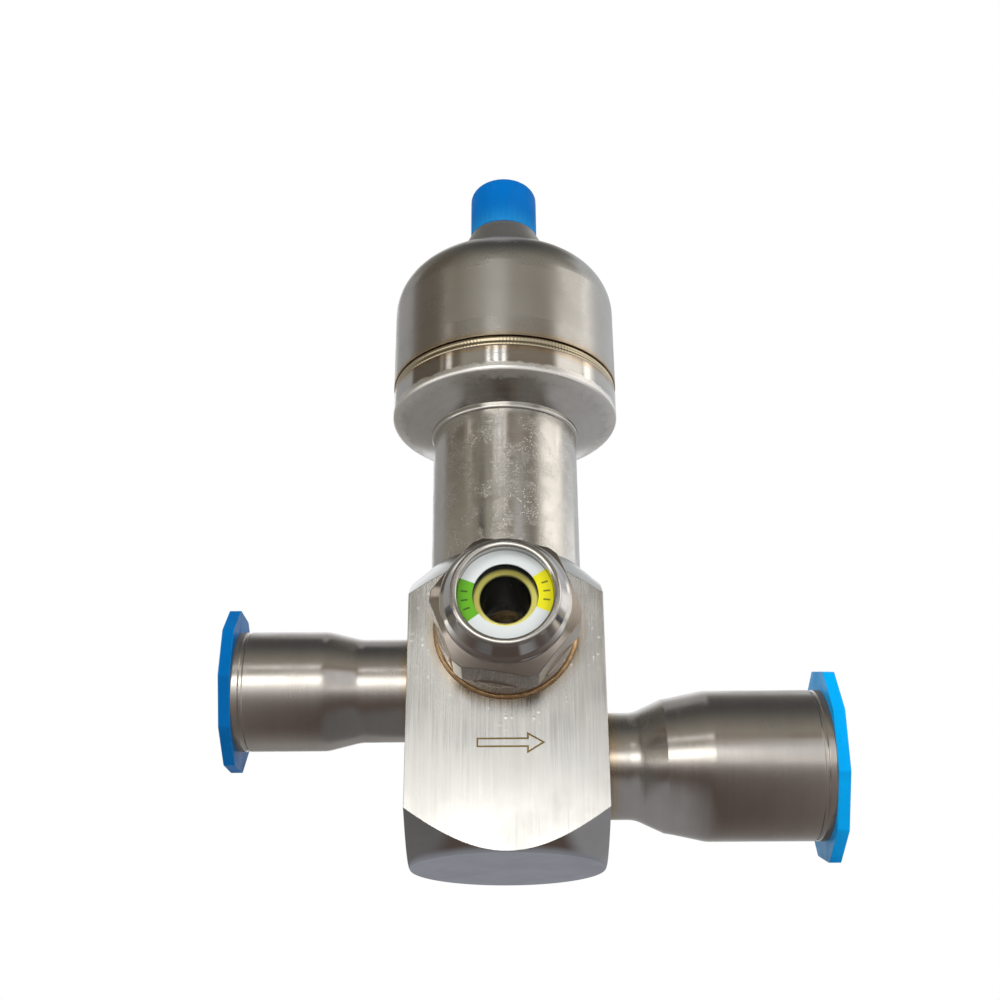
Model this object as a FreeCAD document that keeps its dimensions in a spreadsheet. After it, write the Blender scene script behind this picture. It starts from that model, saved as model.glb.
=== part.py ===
import FreeCAD, Part
import math
import os
import Sketcher

# An electronic expansion valve in millimetres. The origin is the centre of the body's foot, +Z runs
# up the motor's axis, the refrigerant flows along +X and the sight glass looks along -Y.

DRIVING_SIZES = [
    # body, turned from square bar
    ("bar_side", "40", "square bar, across flats"),
    ("body_height", "63.7", "foot to the column's shoulder"),
    ("foot_radius", "19.8", "disc that the lower turned chamfer leaves"),
    ("shoulder_ledge", "0.35", "flat left round the column by the upper turned chamfer"),
    ("bonnet_shelf_width", "2.4", "shelf in the bonnet bore, outside the inlet chamber"),
    ("bonnet_bore_depth", "9.7", "bonnet bore below the shoulder"),
    ("seat_shelf_height", "28.5", "shelf that the seat ring rests on"),
    ("outlet_chamber_room", "1.2", "piston to the wall of the chamber below the seat"),
    ("outlet_chamber_floor", "12.5", "that chamber's floor above the foot"),
    ("drill_point", "2.55", "cone that the drill leaves in the floor"),
    ("port_radius", "7.2", "drilling from a pipe to its chamber"),
    ("pipe_seat_depth", "4", "counterbore that a pipe end is brazed into"),
    ("braze_gap", "0.06", "radial gap of a brazed or pressed joint"),
    # inlet stub, along -X
    ("inlet_axis_height", "37.7", "inlet pipe's axis above the foot"),
    ("inlet_wall", "1.5", "tube wall"),
    ("inlet_socket_radius", "11.2", "bore that a 22.2 mm pipe enters"),
    ("inlet_step", "1.75", "narrow tube inside the socket's outline"),
    ("inlet_neck_end", "31", "where the tube starts to widen"),
    ("inlet_socket_start", "38", "where it is full width"),
    ("inlet_soften", "1.2", "rounding of the widening, as a share of its length"),
    ("inlet_mouth", "56.9", "mouth, from the valve's axis"),
    # outlet stub, along +X
    ("outlet_axis_height", "21.1", "outlet pipe's axis above the foot"),
    ("outlet_wall", "1.15", "tube wall"),
    ("outlet_socket_radius", "14.35", "bore that a 28.6 mm pipe enters"),
    ("outlet_step", "4.5", "narrow tube inside the socket's outline"),
    ("outlet_neck_end", "26.3", "where the tube starts to widen"),
    ("outlet_ridge", "34.6", "faint ridge half way up the widening"),
    ("outlet_ridge_share", "0.7", "ridge's place between the tube's radius and the socket's"),
    ("outlet_waist", "2.32", "waist before the ridge"),
    ("outlet_waist_dip", "0.41", "how much lower the waist is than the ridge"),
    ("outlet_socket_start", "41", "where it is full width"),
    ("outlet_mouth", "65.5", "mouth, from the valve's axis"),
    ("lead_in_depth", "6", "bell-mouthed part of a socket"),
    ("lead_in_flare", "0.35", "how much the mouth is wider than the socket"),
    ("lip_width", "1.4", "plain lip outside a socket's sizing groove"),
    ("lip_groove_width", "1.0", "sizing groove"),
    ("lip_groove_depth", "0.22", "sizing groove"),
    # push-in transport plugs
    ("inlet_plug_reach", "17.5", "axis to the flange's far corners"),
    ("outlet_plug_reach", "20.3", "axis to the flange's far corners"),
    ("inlet_plug_turn", "-25", "turn of the flange's long way in degrees"),
    ("outlet_plug_turn", "-162", "turn of the flange's long way in degrees"),
    ("plug_ledge", "0.8", "flange beyond the socket on its narrow sides"),
    ("plug_sides", "10", "sides of the flange"),
    ("plug_corner", "1.2", "rounding of the flange's corners"),
    ("plug_flange", "2.4", "flange thickness"),
    ("plug_spigot", "5.6", "part inside the socket"),
    ("plug_wall", "1.3", "spigot wall and its end"),
    ("plug_clearance", "0.12", "radial, spigot in the bell mouth"),
    # column
    ("column_radius", "16.55", "outside"),
    ("column_bore_radius", "13", "inside"),
    ("column_length", "33.9", "shoulder to the motor housing"),
    # motor housing and can
    ("housing_radius", "26.15", "polished band"),
    ("collar_ledge", "0.5", "collar beyond the column"),
    ("collar_height", "1.4", "its straight part"),
    ("underside_rise", "4.6", "column's end to the outer edge of the underside"),
    ("lip_radius", "1.1", "rounded lip under the polished band"),
    ("band_height", "6", "lip's start to the weld groove"),
    ("weld_groove_height", "2.6", "weld groove between band and can"),
    ("weld_groove_depth", "0.65", "weld groove"),
    ("rim_spigot_height", "3", "housing rim inside the can"),
    ("housing_rim_wall", "1.04", "wall of the housing's rim"),
    ("housing_floor", "4.9", "column's end to the housing's floor"),
    ("hub_length", "5.4", "hub inside the column"),
    ("can_step", "0.05", "motor can beyond the polished band"),
    ("can_wall", "1.1", "its wall and roof"),
    ("head_room", "2.6", "leads' level to the can's ceiling"),
    ("can_shoulder", "12", "outside rounding of the shoulder"),
    # connector
    ("connector_hole_radius", "8.4", "hole in the can's roof"),
    ("neck_ledge", "0.2", "flat of the can's roof outside the cone"),
    ("neck_height", "12", "cone, which ends flush with the cap"),
    ("thread_radius", "5.95", "outside of the M12 thread"),
    ("thread_height", "11", "threaded tube above the neck"),
    ("thread_relief", "0.5", "depth of the relief at the foot of the thread"),
    ("thread_relief_width", "1.5", "its width"),
    ("connector_bore_radius", "4.6", "inside of the threaded tube"),
    ("insert_height", "3.4", "insert above the neck"),
    ("pin_radius", "0.5", "contact pin"),
    ("pin_circle_radius", "2.6", "contact pins' circle"),
    ("pin_height", "4", "contact pin above the insert"),
    ("pin_tail", "1", "contact pin below the insert"),
    ("cap_clearance", "0.35", "radial, protective cap on the thread"),
    ("cap_wall", "1.9", "protective cap"),
    ("cap_head_gap", "1.6", "end of the thread to the cap's roof"),
    ("cap_roof", "1.5", "thickness of the cap's roof"),
    ("cap_edge", "1.8", "rounding of the cap's upper edge"),
    # sight glass, along -Y
    ("sight_axis_height", "44.5", "sight glass axis above the foot"),
    ("sight_port_radius", "6", "drilling to the inlet chamber"),
    ("sight_seat_radius", "10", "spigot of the fitting"),
    ("sight_seat_depth", "3", "its depth in the body"),
    ("sight_base_radius", "14.2", "round base"),
    ("sight_base_height", "5.6", "round base"),
    ("sight_hex_flats", "27", "hexagon across flats"),
    ("sight_corner_radius", "15", "hexagon's corners, turned off"),
    ("sight_hex_height", "9.2", "hexagon"),
    ("sight_hex_turn", "9", "turn of the hexagon in degrees"),
    ("sight_bead_radius", "12.8", "rounded bead in front of the hexagon"),
    ("sight_bead_height", "3.2", "hexagon to the bead's front"),
    ("sight_bead_round", "0.9", "rounding of the bead"),
    ("sight_rim_wall", "1.5", "front rim round the pocket"),
    ("sight_rim_rise", "3.5", "front rim before the bead"),
    ("sight_rim_height", "0.9", "straight part of the front rim"),
    ("sight_rim_soften", "0.45", "rounding of the rim, as a share of its wall"),
    ("sight_pocket_radius", "9.2", "pocket for the glass"),
    ("sight_pocket_depth", "5.4", "pocket for the glass"),
    ("sight_hole_radius", "4.95", "hole behind the glass"),
    ("glass_thickness", "2.6", "sight glass"),
    ("element_outer_radius", "6.3", "moisture element"),
    ("element_thickness", "0.5", "moisture element"),
    ("dial_hole_radius", "6.33", "dial's window"),
    ("dial_thickness", "0.4", "dial"),
    ("stack_gap", "0.05", "between element, glass and dial"),
    ("braze_ring_width", "0.55", "copper fillet round the fitting"),
    ("braze_hollow", "0.35", "how hollow the fillet is, as a share of its width"),
    # seat and piston
    ("seat_width", "3.6", "piston to the inlet chamber's wall"),
    ("seat_ring_height", "3.4", "seat ring"),
    ("seat_ring_gap", "0.05", "radial, seat ring in the chamber"),
    ("seat_seal_height", "1.2", "soft seal on the seat ring"),
    ("seat_seal_margin", "1.2", "chamber's wall to the soft seal"),
    ("piston_clearance", "0.05", "radial, piston in seat and guide"),
    ("opening_gap", "0.9", "piston's lip to the guide when the valve is open"),
    ("piston_skirt", "15.4", "skirt below the closing face"),
    ("piston_skirt_wall", "1.6", "skirt"),
    ("piston_rise", "2.1", "piston above the guide when the valve is closed"),
    ("piston_lip_room", "1.7", "flange with the closing face to the chamber's wall"),
    ("piston_lip_height", "2", "flange with the closing face"),
    ("piston_web", "3.2", "web that closes the piston"),
    ("slot_width", "5.2", "metering slot at the skirt's lower edge"),
    ("slot_top_width", "1.3", "metering slot at its top"),
    ("slot_height", "12.5", "metering slot"),
    ("slot_count", "4", "metering slots"),
    ("balance_hole_radius", "0.8", "hole through the piston's web"),
    ("balance_hole_circle", "3.2", "balance holes' circle"),
    ("balance_hole_count", "3", "balance holes"),
    ("nut_share", "0.7222", "nut's radius as a share of the piston's"),
    ("nut_depth", "9.5", "nut in the piston's top"),
    ("nut_shoulder", "1.3", "step in the piston below the nut"),
    ("nut_flange_height", "3", "flange with the two keys"),
    ("nut_flange_margin", "0.2", "flange with the two keys inside the piston's outline"),
    ("key_width", "4", "key that stops the nut turning"),
    ("key_end_gap", "0.8", "key's outer end to the column's bore"),
    ("key_clearance", "0.1", "key in its slot, each side"),
    # guides
    ("guide_length", "8.6", "guide bush above its lower end"),
    ("guide_flange_side", "0.1", "radial, flange in the bonnet bore"),
    ("guide_flange_height", "1.6", "flange under the column"),
    ("guide_flange_gap", "0.1", "flange to the column's end"),
    ("guide_neck_gap", "0.1", "radial, bush in the keyed tube"),
    ("guide_neck_wall", "1.25", "bush inside the keyed tube"),
    ("guide_lower", "5", "bush below the bonnet bore's shelf"),
    ("ring_groove_depth", "1.65", "groove for the piston ring"),
    ("ring_groove_height", "2.4", "groove for the piston ring"),
    ("ring_groove_lift", "1.3", "groove above the bush's lower end"),
    ("ring_side_gap", "0.05", "piston ring in its groove"),
    ("key_tube_wall", "2.5", "keyed guide tube"),
    ("key_slot_margin", "1.2", "slot below the keys when closed"),
    ("key_tube_gap", "0.1", "radial, keyed tube in the column"),
    ("key_tube_end_gap", "3.5", "keyed tube to the housing's hub"),
    # spindle and bearings
    ("screw_radius", "4", "lead screw and journals"),
    ("screw_clearance", "0.05", "radial, screw in the nut"),
    ("screw_end_gap", "1.7", "screw's end above the piston's hollow when the valve is open"),
    ("spindle_radius", "5", "rotor seat"),
    ("spindle_hole_clearance", "1", "radial, spindle in the hub's end"),
    ("bearing_radius", "9.5", "ball bearing, outside"),
    ("bearing_width", "6", "ball bearing"),
    ("bearing_ring", "1.2", "thickness of its rings"),
    ("ball_gap", "0.05", "ball to each ring"),
    ("ball_count", "8", "balls in a bearing"),
    ("hub_wall", "3", "hub's end below the lower bearing"),
    ("clip_thickness", "0.7", "retaining clip"),
    ("clip_groove_depth", "0.4", "groove for the clip"),
    ("clip_width", "1.7", "retaining clip"),
    # rotor and stator
    ("stator_height", "16.2", "stator stack"),
    ("stator_gap", "0.1", "radial, stator in the can"),
    ("stator_yoke", "3.6", "outer ring of the stator"),
    ("stator_bore_share", "0.6215", "stator's bore as a share of the yoke's inside"),
    ("air_gap", "0.3", "radial, between the rotor's and the stator's teeth"),
    ("shoe_depth", "2.2", "pole shoe"),
    ("slot_opening", "2", "opening between two pole shoes"),
    ("pole_share", "0.4812", "pole's width as a share of the stator's bore radius"),
    ("pole_count", "8", "poles"),
    ("stator_teeth", "48", "teeth round the stator"),
    ("rotor_teeth", "50", "teeth on each rotor stack"),
    ("tooth_gap_width", "0.82", "gap between two teeth"),
    ("tooth_depth", "0.7", "tooth"),
    ("rotor_inset", "0.5", "rotor stacks inside the stator's ends"),
    ("magnet_height", "2", "magnet between the stacks"),
    ("magnet_inset", "1", "magnet inside the rotor's tooth tips"),
    ("coil_spacing", "0.89", "half the gap between two coils at their inner ends"),
    ("coil_end", "4", "coil's thickness over its pole"),
    ("coil_gap", "0.15", "coil to pole"),
    ("coil_shoe_gap", "0.3", "coil to the pole shoe"),
    ("coil_yoke_gap", "1", "coil to the yoke"),
    ("coil_soften", "0.8", "rounding of a coil, as a share of its side"),
    ("coil_frame_gap", "0.65", "coil to the end frame's plate"),
    ("frame_can_gap", "2.2", "upper end frame to the can"),
    ("frame_chamfer", "1.5", "upper end frame's edge under the can's shoulder"),
    ("frame_plate", "2.2", "upper end frame"),
    ("frame_hub_wall", "1.9", "upper end frame's hub"),
    ("frame_hub_margin", "0.3", "hub below the upper bearing"),
    ("frame_lip", "1", "lip over the upper bearing"),
    ("frame_lip_radius", "7.6", "its opening"),
    ("screw_yoke_gap", "2.1", "motor screws' circle inside the yoke"),
    ("screw_count", "4", "motor screws"),
    ("boss_radius", "2.3", "boss in the housing for a motor screw"),
    ("boss_height", "5", "boss in the housing for a motor screw"),
    ("boss_thread", "4", "screw's depth in its boss"),
    ("motor_screw_radius", "1", "motor screw"),
    ("motor_screw_head", "1.8", "motor screw's head"),
    ("motor_screw_head_height", "1.3", "motor screw's head"),
    ("motor_screw_clearance", "0.1", "radial, motor screw in its hole"),
    ("spring_thickness", "0.3", "wave spring over the upper bearing"),
    ("lead_radius", "0.55", "winding lead"),
    ("lead_inset", "1", "winding leads' circle outside the coils' inner ends"),
    ("lead_bend", "1.1", "winding lead's bend"),
    ("lead_clearance", "0.35", "spindle's end to the leads"),
    ("lead_hole_clearance", "0.5", "radial, lead in the end frame"),
]


class Size:
    """A size with its value and the formula in the sheet's names that gives it."""

    def __init__(self, value, text=None):
        self.value = float(value)
        self.text = repr(float(value)) if text is None else text

    def combine(self, other, sign, value, swap=False):
        first, second = (other, self) if swap else (self, other)
        return Size(value, f"({first.text} {sign} {second.text})")

    def __add__(self, other):
        other = as_size(other)
        return self.combine(other, "+", self.value + other.value)

    def __radd__(self, other):
        return as_size(other) + self

    def __sub__(self, other):
        other = as_size(other)
        return self.combine(other, "-", self.value - other.value)

    def __rsub__(self, other):
        return as_size(other) - self

    def __mul__(self, other):
        other = as_size(other)
        return self.combine(other, "*", self.value * other.value)

    def __rmul__(self, other):
        return as_size(other) * self

    def __truediv__(self, other):
        other = as_size(other)
        return self.combine(other, "/", self.value / other.value)

    def __neg__(self):
        return Size(-self.value, f"(-{self.text})")


def as_size(number):
    return number if isinstance(number, Size) else Size(number)


doc = FreeCAD.newDocument("ExpansionValve")
sheet = doc.addObject("Spreadsheet::Sheet", "Sizes")
sizes = {}
for row, (alias, number, meaning) in enumerate(DRIVING_SIZES, start=1):
    sheet.set(f"A{row}", alias)
    sheet.set(f"B{row}", number)
    sheet.set(f"C{row}", meaning)
    sheet.setAlias(f"B{row}", alias)
    sizes[alias] = Size(number, "Sizes." + alias)
doc.recompute()


class SheetNames:
    """Reads a size by its alias, as in s.bar_side."""

    def __getattr__(self, alias):
        return sizes[alias]


s = SheetNames()
nodes = []

# contact pins and winding leads, one of each for the ends of two windings
PIN_COUNT = 4

# where a turned piece's own axis points, as a turn from +Z
UP = FreeCAD.Rotation()
LEFT = FreeCAD.Rotation(FreeCAD.Vector(0, 1, 0), -90)
RIGHT = FreeCAD.Rotation(FreeCAD.Vector(0, 1, 0), 90)
FRONT = FreeCAD.Rotation(FreeCAD.Vector(1, 0, 0), 90)

# how a sketch on the XZ or YZ plane is turned, so that its upright axis points along the port
SKETCH_LEFT = FreeCAD.Rotation(FreeCAD.Vector(0, 0, 1), 90)
SKETCH_RIGHT = FreeCAD.Rotation(FreeCAD.Vector(0, 0, 1), -90)


def cosine(degrees):
    return Size(math.cos(math.radians(degrees.value)), f"cos({degrees.text})")


def sine(degrees):
    return Size(math.sin(math.radians(degrees.value)), f"sin({degrees.text})")


def first_slot(circle_radius):
    """The place on a circle that is in line with the slot between the first two poles."""
    return circle_radius * cosine(half_pitch), circle_radius * sine(half_pitch)


def new_body(label, turn=UP, base=(0, 0, 0)):
    """A body named after its node, placed by sizes from the sheet."""
    body = doc.addObject("PartDesign::Body", label)
    body.Label = label
    base = [as_size(number) for number in base]
    body.Placement = FreeCAD.Placement(FreeCAD.Vector(*[b.value for b in base]), turn)
    for axis, size in zip("xyz", base):
        body.setExpression(f".Placement.Base.{axis}", size.text)
    nodes.append(body)
    return body


def origin_plane(body, role):
    return next(feature for feature in body.Origin.OriginFeatures if feature.Role == role)


def bind(sketch, kind, element, size):
    """Holds one coordinate of a sketch point at a size."""
    index = sketch.addConstraint(Sketcher.Constraint(kind, -1, 1, element, 1, size.value))
    sketch.setExpression(f"Constraints[{index}]", size.text)


def outline(body, plane, points, turn=None, offset=(0, 0, 0)):
    """A closed outline of straight runs on one of the body's origin planes."""
    sketch = body.newObject("Sketcher::SketchObject", body.Name + "_outline")
    sketch.AttachmentSupport = (origin_plane(body, plane), [""])
    sketch.MapMode = "FlatFace"
    offset = [as_size(number) for number in offset]
    turn = UP if turn is None else turn
    shift = FreeCAD.Vector(*[size.value for size in offset])
    sketch.AttachmentOffset = FreeCAD.Placement(shift, turn)
    for axis, size in zip("xyz", offset):
        sketch.setExpression(f".AttachmentOffset.Base.{axis}", size.text)
    points = [(as_size(across), as_size(along)) for across, along in points]
    count = len(points)
    for index, (across, along) in enumerate(points):
        next_across, next_along = points[(index + 1) % count]
        start = FreeCAD.Vector(across.value, along.value, 0)
        end = FreeCAD.Vector(next_across.value, next_along.value, 0)
        sketch.addGeometry(Part.LineSegment(start, end), False)
    for index in range(count):
        joined = (index + 1) % count
        sketch.addConstraint(Sketcher.Constraint("Coincident", index, 2, joined, 1))
    for index, (across, along) in enumerate(points):
        if across.value == 0:
            sketch.addConstraint(Sketcher.Constraint("PointOnObject", index, 1, -2))
        else:
            bind(sketch, "DistanceX", index, across)
        bind(sketch, "DistanceY", index, along)
    return sketch


def circles(body, plane, centres, radius, offset=(0, 0, 0)):
    """Circles of one radius on an origin plane."""
    sketch = body.newObject("Sketcher::SketchObject", body.Name + "_circles")
    sketch.AttachmentSupport = (origin_plane(body, plane), [""])
    sketch.MapMode = "FlatFace"
    offset = [as_size(number) for number in offset]
    shift = FreeCAD.Vector(*[size.value for size in offset])
    sketch.AttachmentOffset = FreeCAD.Placement(shift, UP)
    for axis, size in zip("xyz", offset):
        sketch.setExpression(f".AttachmentOffset.Base.{axis}", size.text)
    for across, along in centres:
        across, along = as_size(across), as_size(along)
        centre = FreeCAD.Vector(across.value, along.value, 0)
        circle = Part.Circle(centre, FreeCAD.Vector(0, 0, 1), radius.value)
        index = sketch.addGeometry(circle, False)
        size = sketch.addConstraint(Sketcher.Constraint("Radius", index, radius.value))
        sketch.setExpression(f"Constraints[{size}]", radius.text)
        for kind, place in (("DistanceX", across), ("DistanceY", along)):
            number = sketch.addConstraint(Sketcher.Constraint(kind, -1, 1, index, 3, place.value))
            sketch.setExpression(f"Constraints[{number}]", place.text)
    return sketch


def revolve(body, kind, sketch):
    """Turns an outline about the sketch's upright axis, adding or cutting."""
    feature = body.newObject("PartDesign::" + kind, body.Name + "_" + kind)
    feature.Profile = sketch
    feature.ReferenceAxis = (sketch, ["V_Axis"])
    feature.Angle = 360
    return feature


def turned(label, points, turn=UP, base=(0, 0, 0)):
    """A lathe-turned piece from its half outline of (radius, height) points."""
    body = new_body(label, turn, base)
    revolve(body, "Revolution", outline(body, "XZ_Plane", points))
    return body


def ring(label, inner, outer, bottom, top, turn=UP, base=(0, 0, 0)):
    """A plain ring."""
    points = [(inner, bottom), (outer, bottom), (outer, top), (inner, top)]
    return turned(label, points, turn, base)


def bore(body, plane, points, turn, height):
    """A stepped round cut along a port's axis."""
    sketch = outline(body, plane, points, turn, (0, height, 0))
    return revolve(body, "Groove", sketch)


def pocket(body, sketch):
    """Cuts a sketch right through the body, both ways."""
    feature = body.newObject("PartDesign::Pocket", body.Name + "_pocket")
    feature.Profile = sketch
    feature.Type = "ThroughAll"
    feature.Midplane = True
    return feature


def around(body, feature, count, sketch):
    """Repeats a feature around the body's axis."""
    pattern = body.newObject("PartDesign::PolarPattern", body.Name + "_pattern")
    pattern.Originals = [feature]
    pattern.Axis = (sketch, ["N_Axis"])
    pattern.Angle = 360
    pattern.Occurrences = int(count.value)
    pattern.setExpression("Occurrences", count.text)
    body.Tip = pattern
    return pattern


def edge_rings(body, places):
    """Names of the body's round edges at the given (radius, height) places."""
    doc.recompute()
    found = []
    for radius, height in places:
        radius, height = as_size(radius).value, as_size(height).value
        for index, edge in enumerate(body.Tip.Shape.Edges, start=1):
            curve = edge.Curve
            if not isinstance(curve, Part.Circle):
                continue
            if abs(curve.Radius - radius) < 0.005 and abs(curve.Center.z - height) < 0.005:
                found.append(f"Edge{index}")
    if len(found) < len(places):
        raise RuntimeError(f"{body.Label}: an edge to round wasn't found at {places}")
    return found


def dress(body, kind, size, places):
    """Rounds or chamfers the round edges at the given places."""
    names = edge_rings(body, places)
    before = body.Tip
    feature = body.newObject("PartDesign::" + kind, body.Name + "_" + kind)
    feature.Base = (before, names)
    goal = "Radius" if kind == "Fillet" else "Size"
    setattr(feature, goal, size.value)
    feature.setExpression(goal, size.text)
    body.Tip = feature
    return feature


def shaped(label, shape):
    """A piece whose shape is made from the sheet's values by a loop."""
    feature = doc.addObject("Part::Feature", label)
    feature.Label = label
    feature.Shape = shape
    feature.Placement = FreeCAD.Placement()
    nodes.append(feature)
    return feature


# heights that several pieces share
seat_top = s.seat_shelf_height + s.seat_ring_height
closing_face = seat_top + s.seat_seal_height
bonnet_shelf = s.body_height - s.bonnet_bore_depth
column_foot = bonnet_shelf + s.guide_flange_height + s.guide_flange_gap
column_top = s.body_height + s.column_length
hub_foot = column_top - s.hub_length
band_top = column_top + s.underside_rise + s.band_height
can_edge = band_top + s.weld_groove_height
rim_top = can_edge + s.rim_spigot_height
guide_foot = bonnet_shelf - s.guide_lower
guide_top = guide_foot + s.guide_length
piston_stroke = guide_foot - s.opening_gap - closing_face - s.piston_lip_height
piston_top = guide_top + s.piston_rise
nut_top = piston_top + s.nut_flange_height
floor_level = column_top + s.housing_floor
lower_bearing_foot = hub_foot + s.hub_wall
lower_bearing_top = lower_bearing_foot + s.bearing_width
stator_foot = rim_top
stator_top = stator_foot + s.stator_height
plate_foot = stator_top + s.coil_gap + s.coil_end + s.coil_frame_gap
frame_top = plate_foot + s.frame_plate
upper_bearing_top = frame_top - s.spring_thickness
upper_bearing_foot = upper_bearing_top - s.bearing_width
clip_foot = upper_bearing_top + s.stack_gap
clip_top = clip_foot + s.clip_thickness + s.stack_gap
spindle_end = clip_top + s.clip_thickness
lead_level = spindle_end + s.lead_clearance + s.lead_radius
can_roof = lead_level + s.head_room + s.can_wall
neck_top = can_roof + s.neck_height
thread_top = neck_top + s.thread_height
insert_top = neck_top + s.insert_height
pin_foot = can_roof - s.can_wall - s.pin_tail

# radii that several pieces share, in the valve
key_tube_bore = s.column_bore_radius - s.key_tube_gap - s.key_tube_wall
guide_neck = key_tube_bore - s.guide_neck_gap
guide_bore = guide_neck - s.guide_neck_wall
piston_radius = guide_bore - s.piston_clearance
nut_radius = piston_radius * s.nut_share
nut_flange_radius = piston_radius - s.nut_flange_margin
chamber_radius = piston_radius + s.seat_width
bonnet_bore_radius = chamber_radius + s.bonnet_shelf_width
inlet_outside = s.inlet_socket_radius + s.inlet_wall
inlet_tube = inlet_outside - s.inlet_step
outlet_outside = s.outlet_socket_radius + s.outlet_wall
outlet_tube = outlet_outside - s.outlet_step

# radii and sizes that several pieces share, in the motor
can_radius = s.housing_radius + s.can_step
can_inside = can_radius - s.can_wall
yoke_inside = can_inside - s.stator_gap - s.stator_yoke
stator_bore = yoke_inside * s.stator_bore_share
rotor_radius = stator_bore - s.air_gap
rotor_stack_height = (s.stator_height - s.magnet_height) / 2 - s.rotor_inset
pole_width = stator_bore * s.pole_share
half_pitch = as_size(180) / s.pole_count
coil_inner = stator_bore + s.shoe_depth + s.coil_shoe_gap
coil_outer = yoke_inside - s.coil_yoke_gap
coil_half = coil_inner * sine(half_pitch) / cosine(half_pitch) - s.coil_spacing
coil_side = coil_half - pole_width / 2 - s.coil_gap
screw_circle = yoke_inside - s.screw_yoke_gap
lead_circle = coil_inner + s.lead_inset
cap_bore = s.thread_radius + s.cap_clearance
cap_radius = cap_bore + s.cap_wall


def valve_body():
    """Square bar with a turned chamfer at each end, bored from the top and from three sides."""
    body = new_body("valve_body")
    half = s.bar_side / 2
    past = s.bar_side
    square = outline(body, "XY_Plane", [(-half, -half), (half, -half), (half, half), (-half, half)])
    block = body.newObject("PartDesign::Pad", "valve_body_bar")
    block.Profile = square
    block.Length = s.body_height.value
    block.setExpression("Length", s.body_height.text)
    lower = [(s.foot_radius - 1, -1), (past, -1), (past, past - s.foot_radius)]
    revolve(body, "Groove", outline(body, "XZ_Plane", lower))
    shoulder = s.column_radius + s.shoulder_ledge
    slope_end = s.body_height + shoulder - past
    upper = [(shoulder - 1, s.body_height + 1), (past, s.body_height + 1), (past, slope_end)]
    revolve(body, "Groove", outline(body, "XZ_Plane", upper))
    outlet_chamber = piston_radius + s.outlet_chamber_room
    stepped = [
        (0, s.body_height + 1),
        (bonnet_bore_radius, s.body_height + 1),
        (bonnet_bore_radius, bonnet_shelf),
        (chamber_radius, bonnet_shelf),
        (chamber_radius, s.seat_shelf_height),
        (outlet_chamber, s.seat_shelf_height),
        (outlet_chamber, s.outlet_chamber_floor),
        (0, s.outlet_chamber_floor - s.drill_point),
    ]
    revolve(body, "Groove", outline(body, "XZ_Plane", stepped))
    for plane, turn, height, drilling, seat, depth in (
        ("XZ_Plane", SKETCH_LEFT, s.inlet_axis_height, s.port_radius,
         inlet_tube + s.braze_gap, s.pipe_seat_depth),
        ("XZ_Plane", SKETCH_RIGHT, s.outlet_axis_height, s.port_radius,
         outlet_tube + s.braze_gap, s.pipe_seat_depth),
        ("YZ_Plane", SKETCH_LEFT, s.sight_axis_height, s.sight_port_radius,
         s.sight_seat_radius + s.braze_gap, s.sight_seat_depth),
    ):
        steps = [
            (0, 0),
            (drilling, 0),
            (drilling, half - depth),
            (seat, half - depth),
            (seat, half + 1),
            (0, half + 1),
        ]
        bore(body, plane, steps, turn, height)


def inlet_pipe():
    """Stub with a socket for a 22.2 mm pipe, widened in one soft step."""
    start = s.bar_side / 2 - s.pipe_seat_depth
    inner = inlet_tube - s.inlet_wall
    outer = inlet_outside
    lead_in = s.inlet_mouth - s.lead_in_depth
    groove_end = s.inlet_mouth - s.lip_width
    groove_start = groove_end - s.lip_groove_width
    body = turned("inlet_pipe", [
        (inner, start),
        (inlet_tube, start),
        (inlet_tube, s.inlet_neck_end),
        (outer, s.inlet_socket_start),
        (outer, groove_start),
        (outer - s.lip_groove_depth, groove_start + s.lip_groove_depth),
        (outer - s.lip_groove_depth, groove_end - s.lip_groove_depth),
        (outer, groove_end),
        (outer, s.inlet_mouth),
        (s.inlet_socket_radius + s.lead_in_flare, s.inlet_mouth),
        (s.inlet_socket_radius, lead_in),
        (s.inlet_socket_radius, s.inlet_socket_start),
        (inner, s.inlet_neck_end),
    ], LEFT, (0, 0, s.inlet_axis_height))
    soft = (s.inlet_socket_start - s.inlet_neck_end) * s.inlet_soften
    dress(body, "Fillet", soft, [
        (inlet_tube, s.inlet_neck_end),
        (outer, s.inlet_socket_start),
    ])


def outlet_pipe():
    """Stub with a socket for a 28.6 mm pipe, widened in two soft steps with a ridge between."""
    start = s.bar_side / 2 - s.pipe_seat_depth
    inner = outlet_tube - s.outlet_wall
    outer = outlet_outside
    ridge_radius = outlet_tube + (outer - outlet_tube) * s.outlet_ridge_share
    waist = s.outlet_ridge - s.outlet_waist
    waist_radius = ridge_radius - s.outlet_waist_dip
    lead_in = s.outlet_mouth - s.lead_in_depth
    groove_end = s.outlet_mouth - s.lip_width
    groove_start = groove_end - s.lip_groove_width
    body = turned("outlet_pipe", [
        (inner, start),
        (outlet_tube, start),
        (outlet_tube, s.outlet_neck_end),
        (waist_radius, waist),
        (ridge_radius, s.outlet_ridge),
        (outer, s.outlet_socket_start),
        (outer, groove_start),
        (outer - s.lip_groove_depth, groove_start + s.lip_groove_depth),
        (outer - s.lip_groove_depth, groove_end - s.lip_groove_depth),
        (outer, groove_end),
        (outer, s.outlet_mouth),
        (s.outlet_socket_radius + s.lead_in_flare, s.outlet_mouth),
        (s.outlet_socket_radius, lead_in),
        (s.outlet_socket_radius, s.outlet_socket_start),
        (ridge_radius - s.outlet_wall, s.outlet_ridge),
        (inner, s.outlet_neck_end),
    ], RIGHT, (0, 0, s.outlet_axis_height))
    dress(body, "Fillet", s.outlet_socket_start - s.outlet_ridge, [
        (outlet_tube, s.outlet_neck_end),
        (outer, s.outlet_socket_start),
    ])


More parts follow.
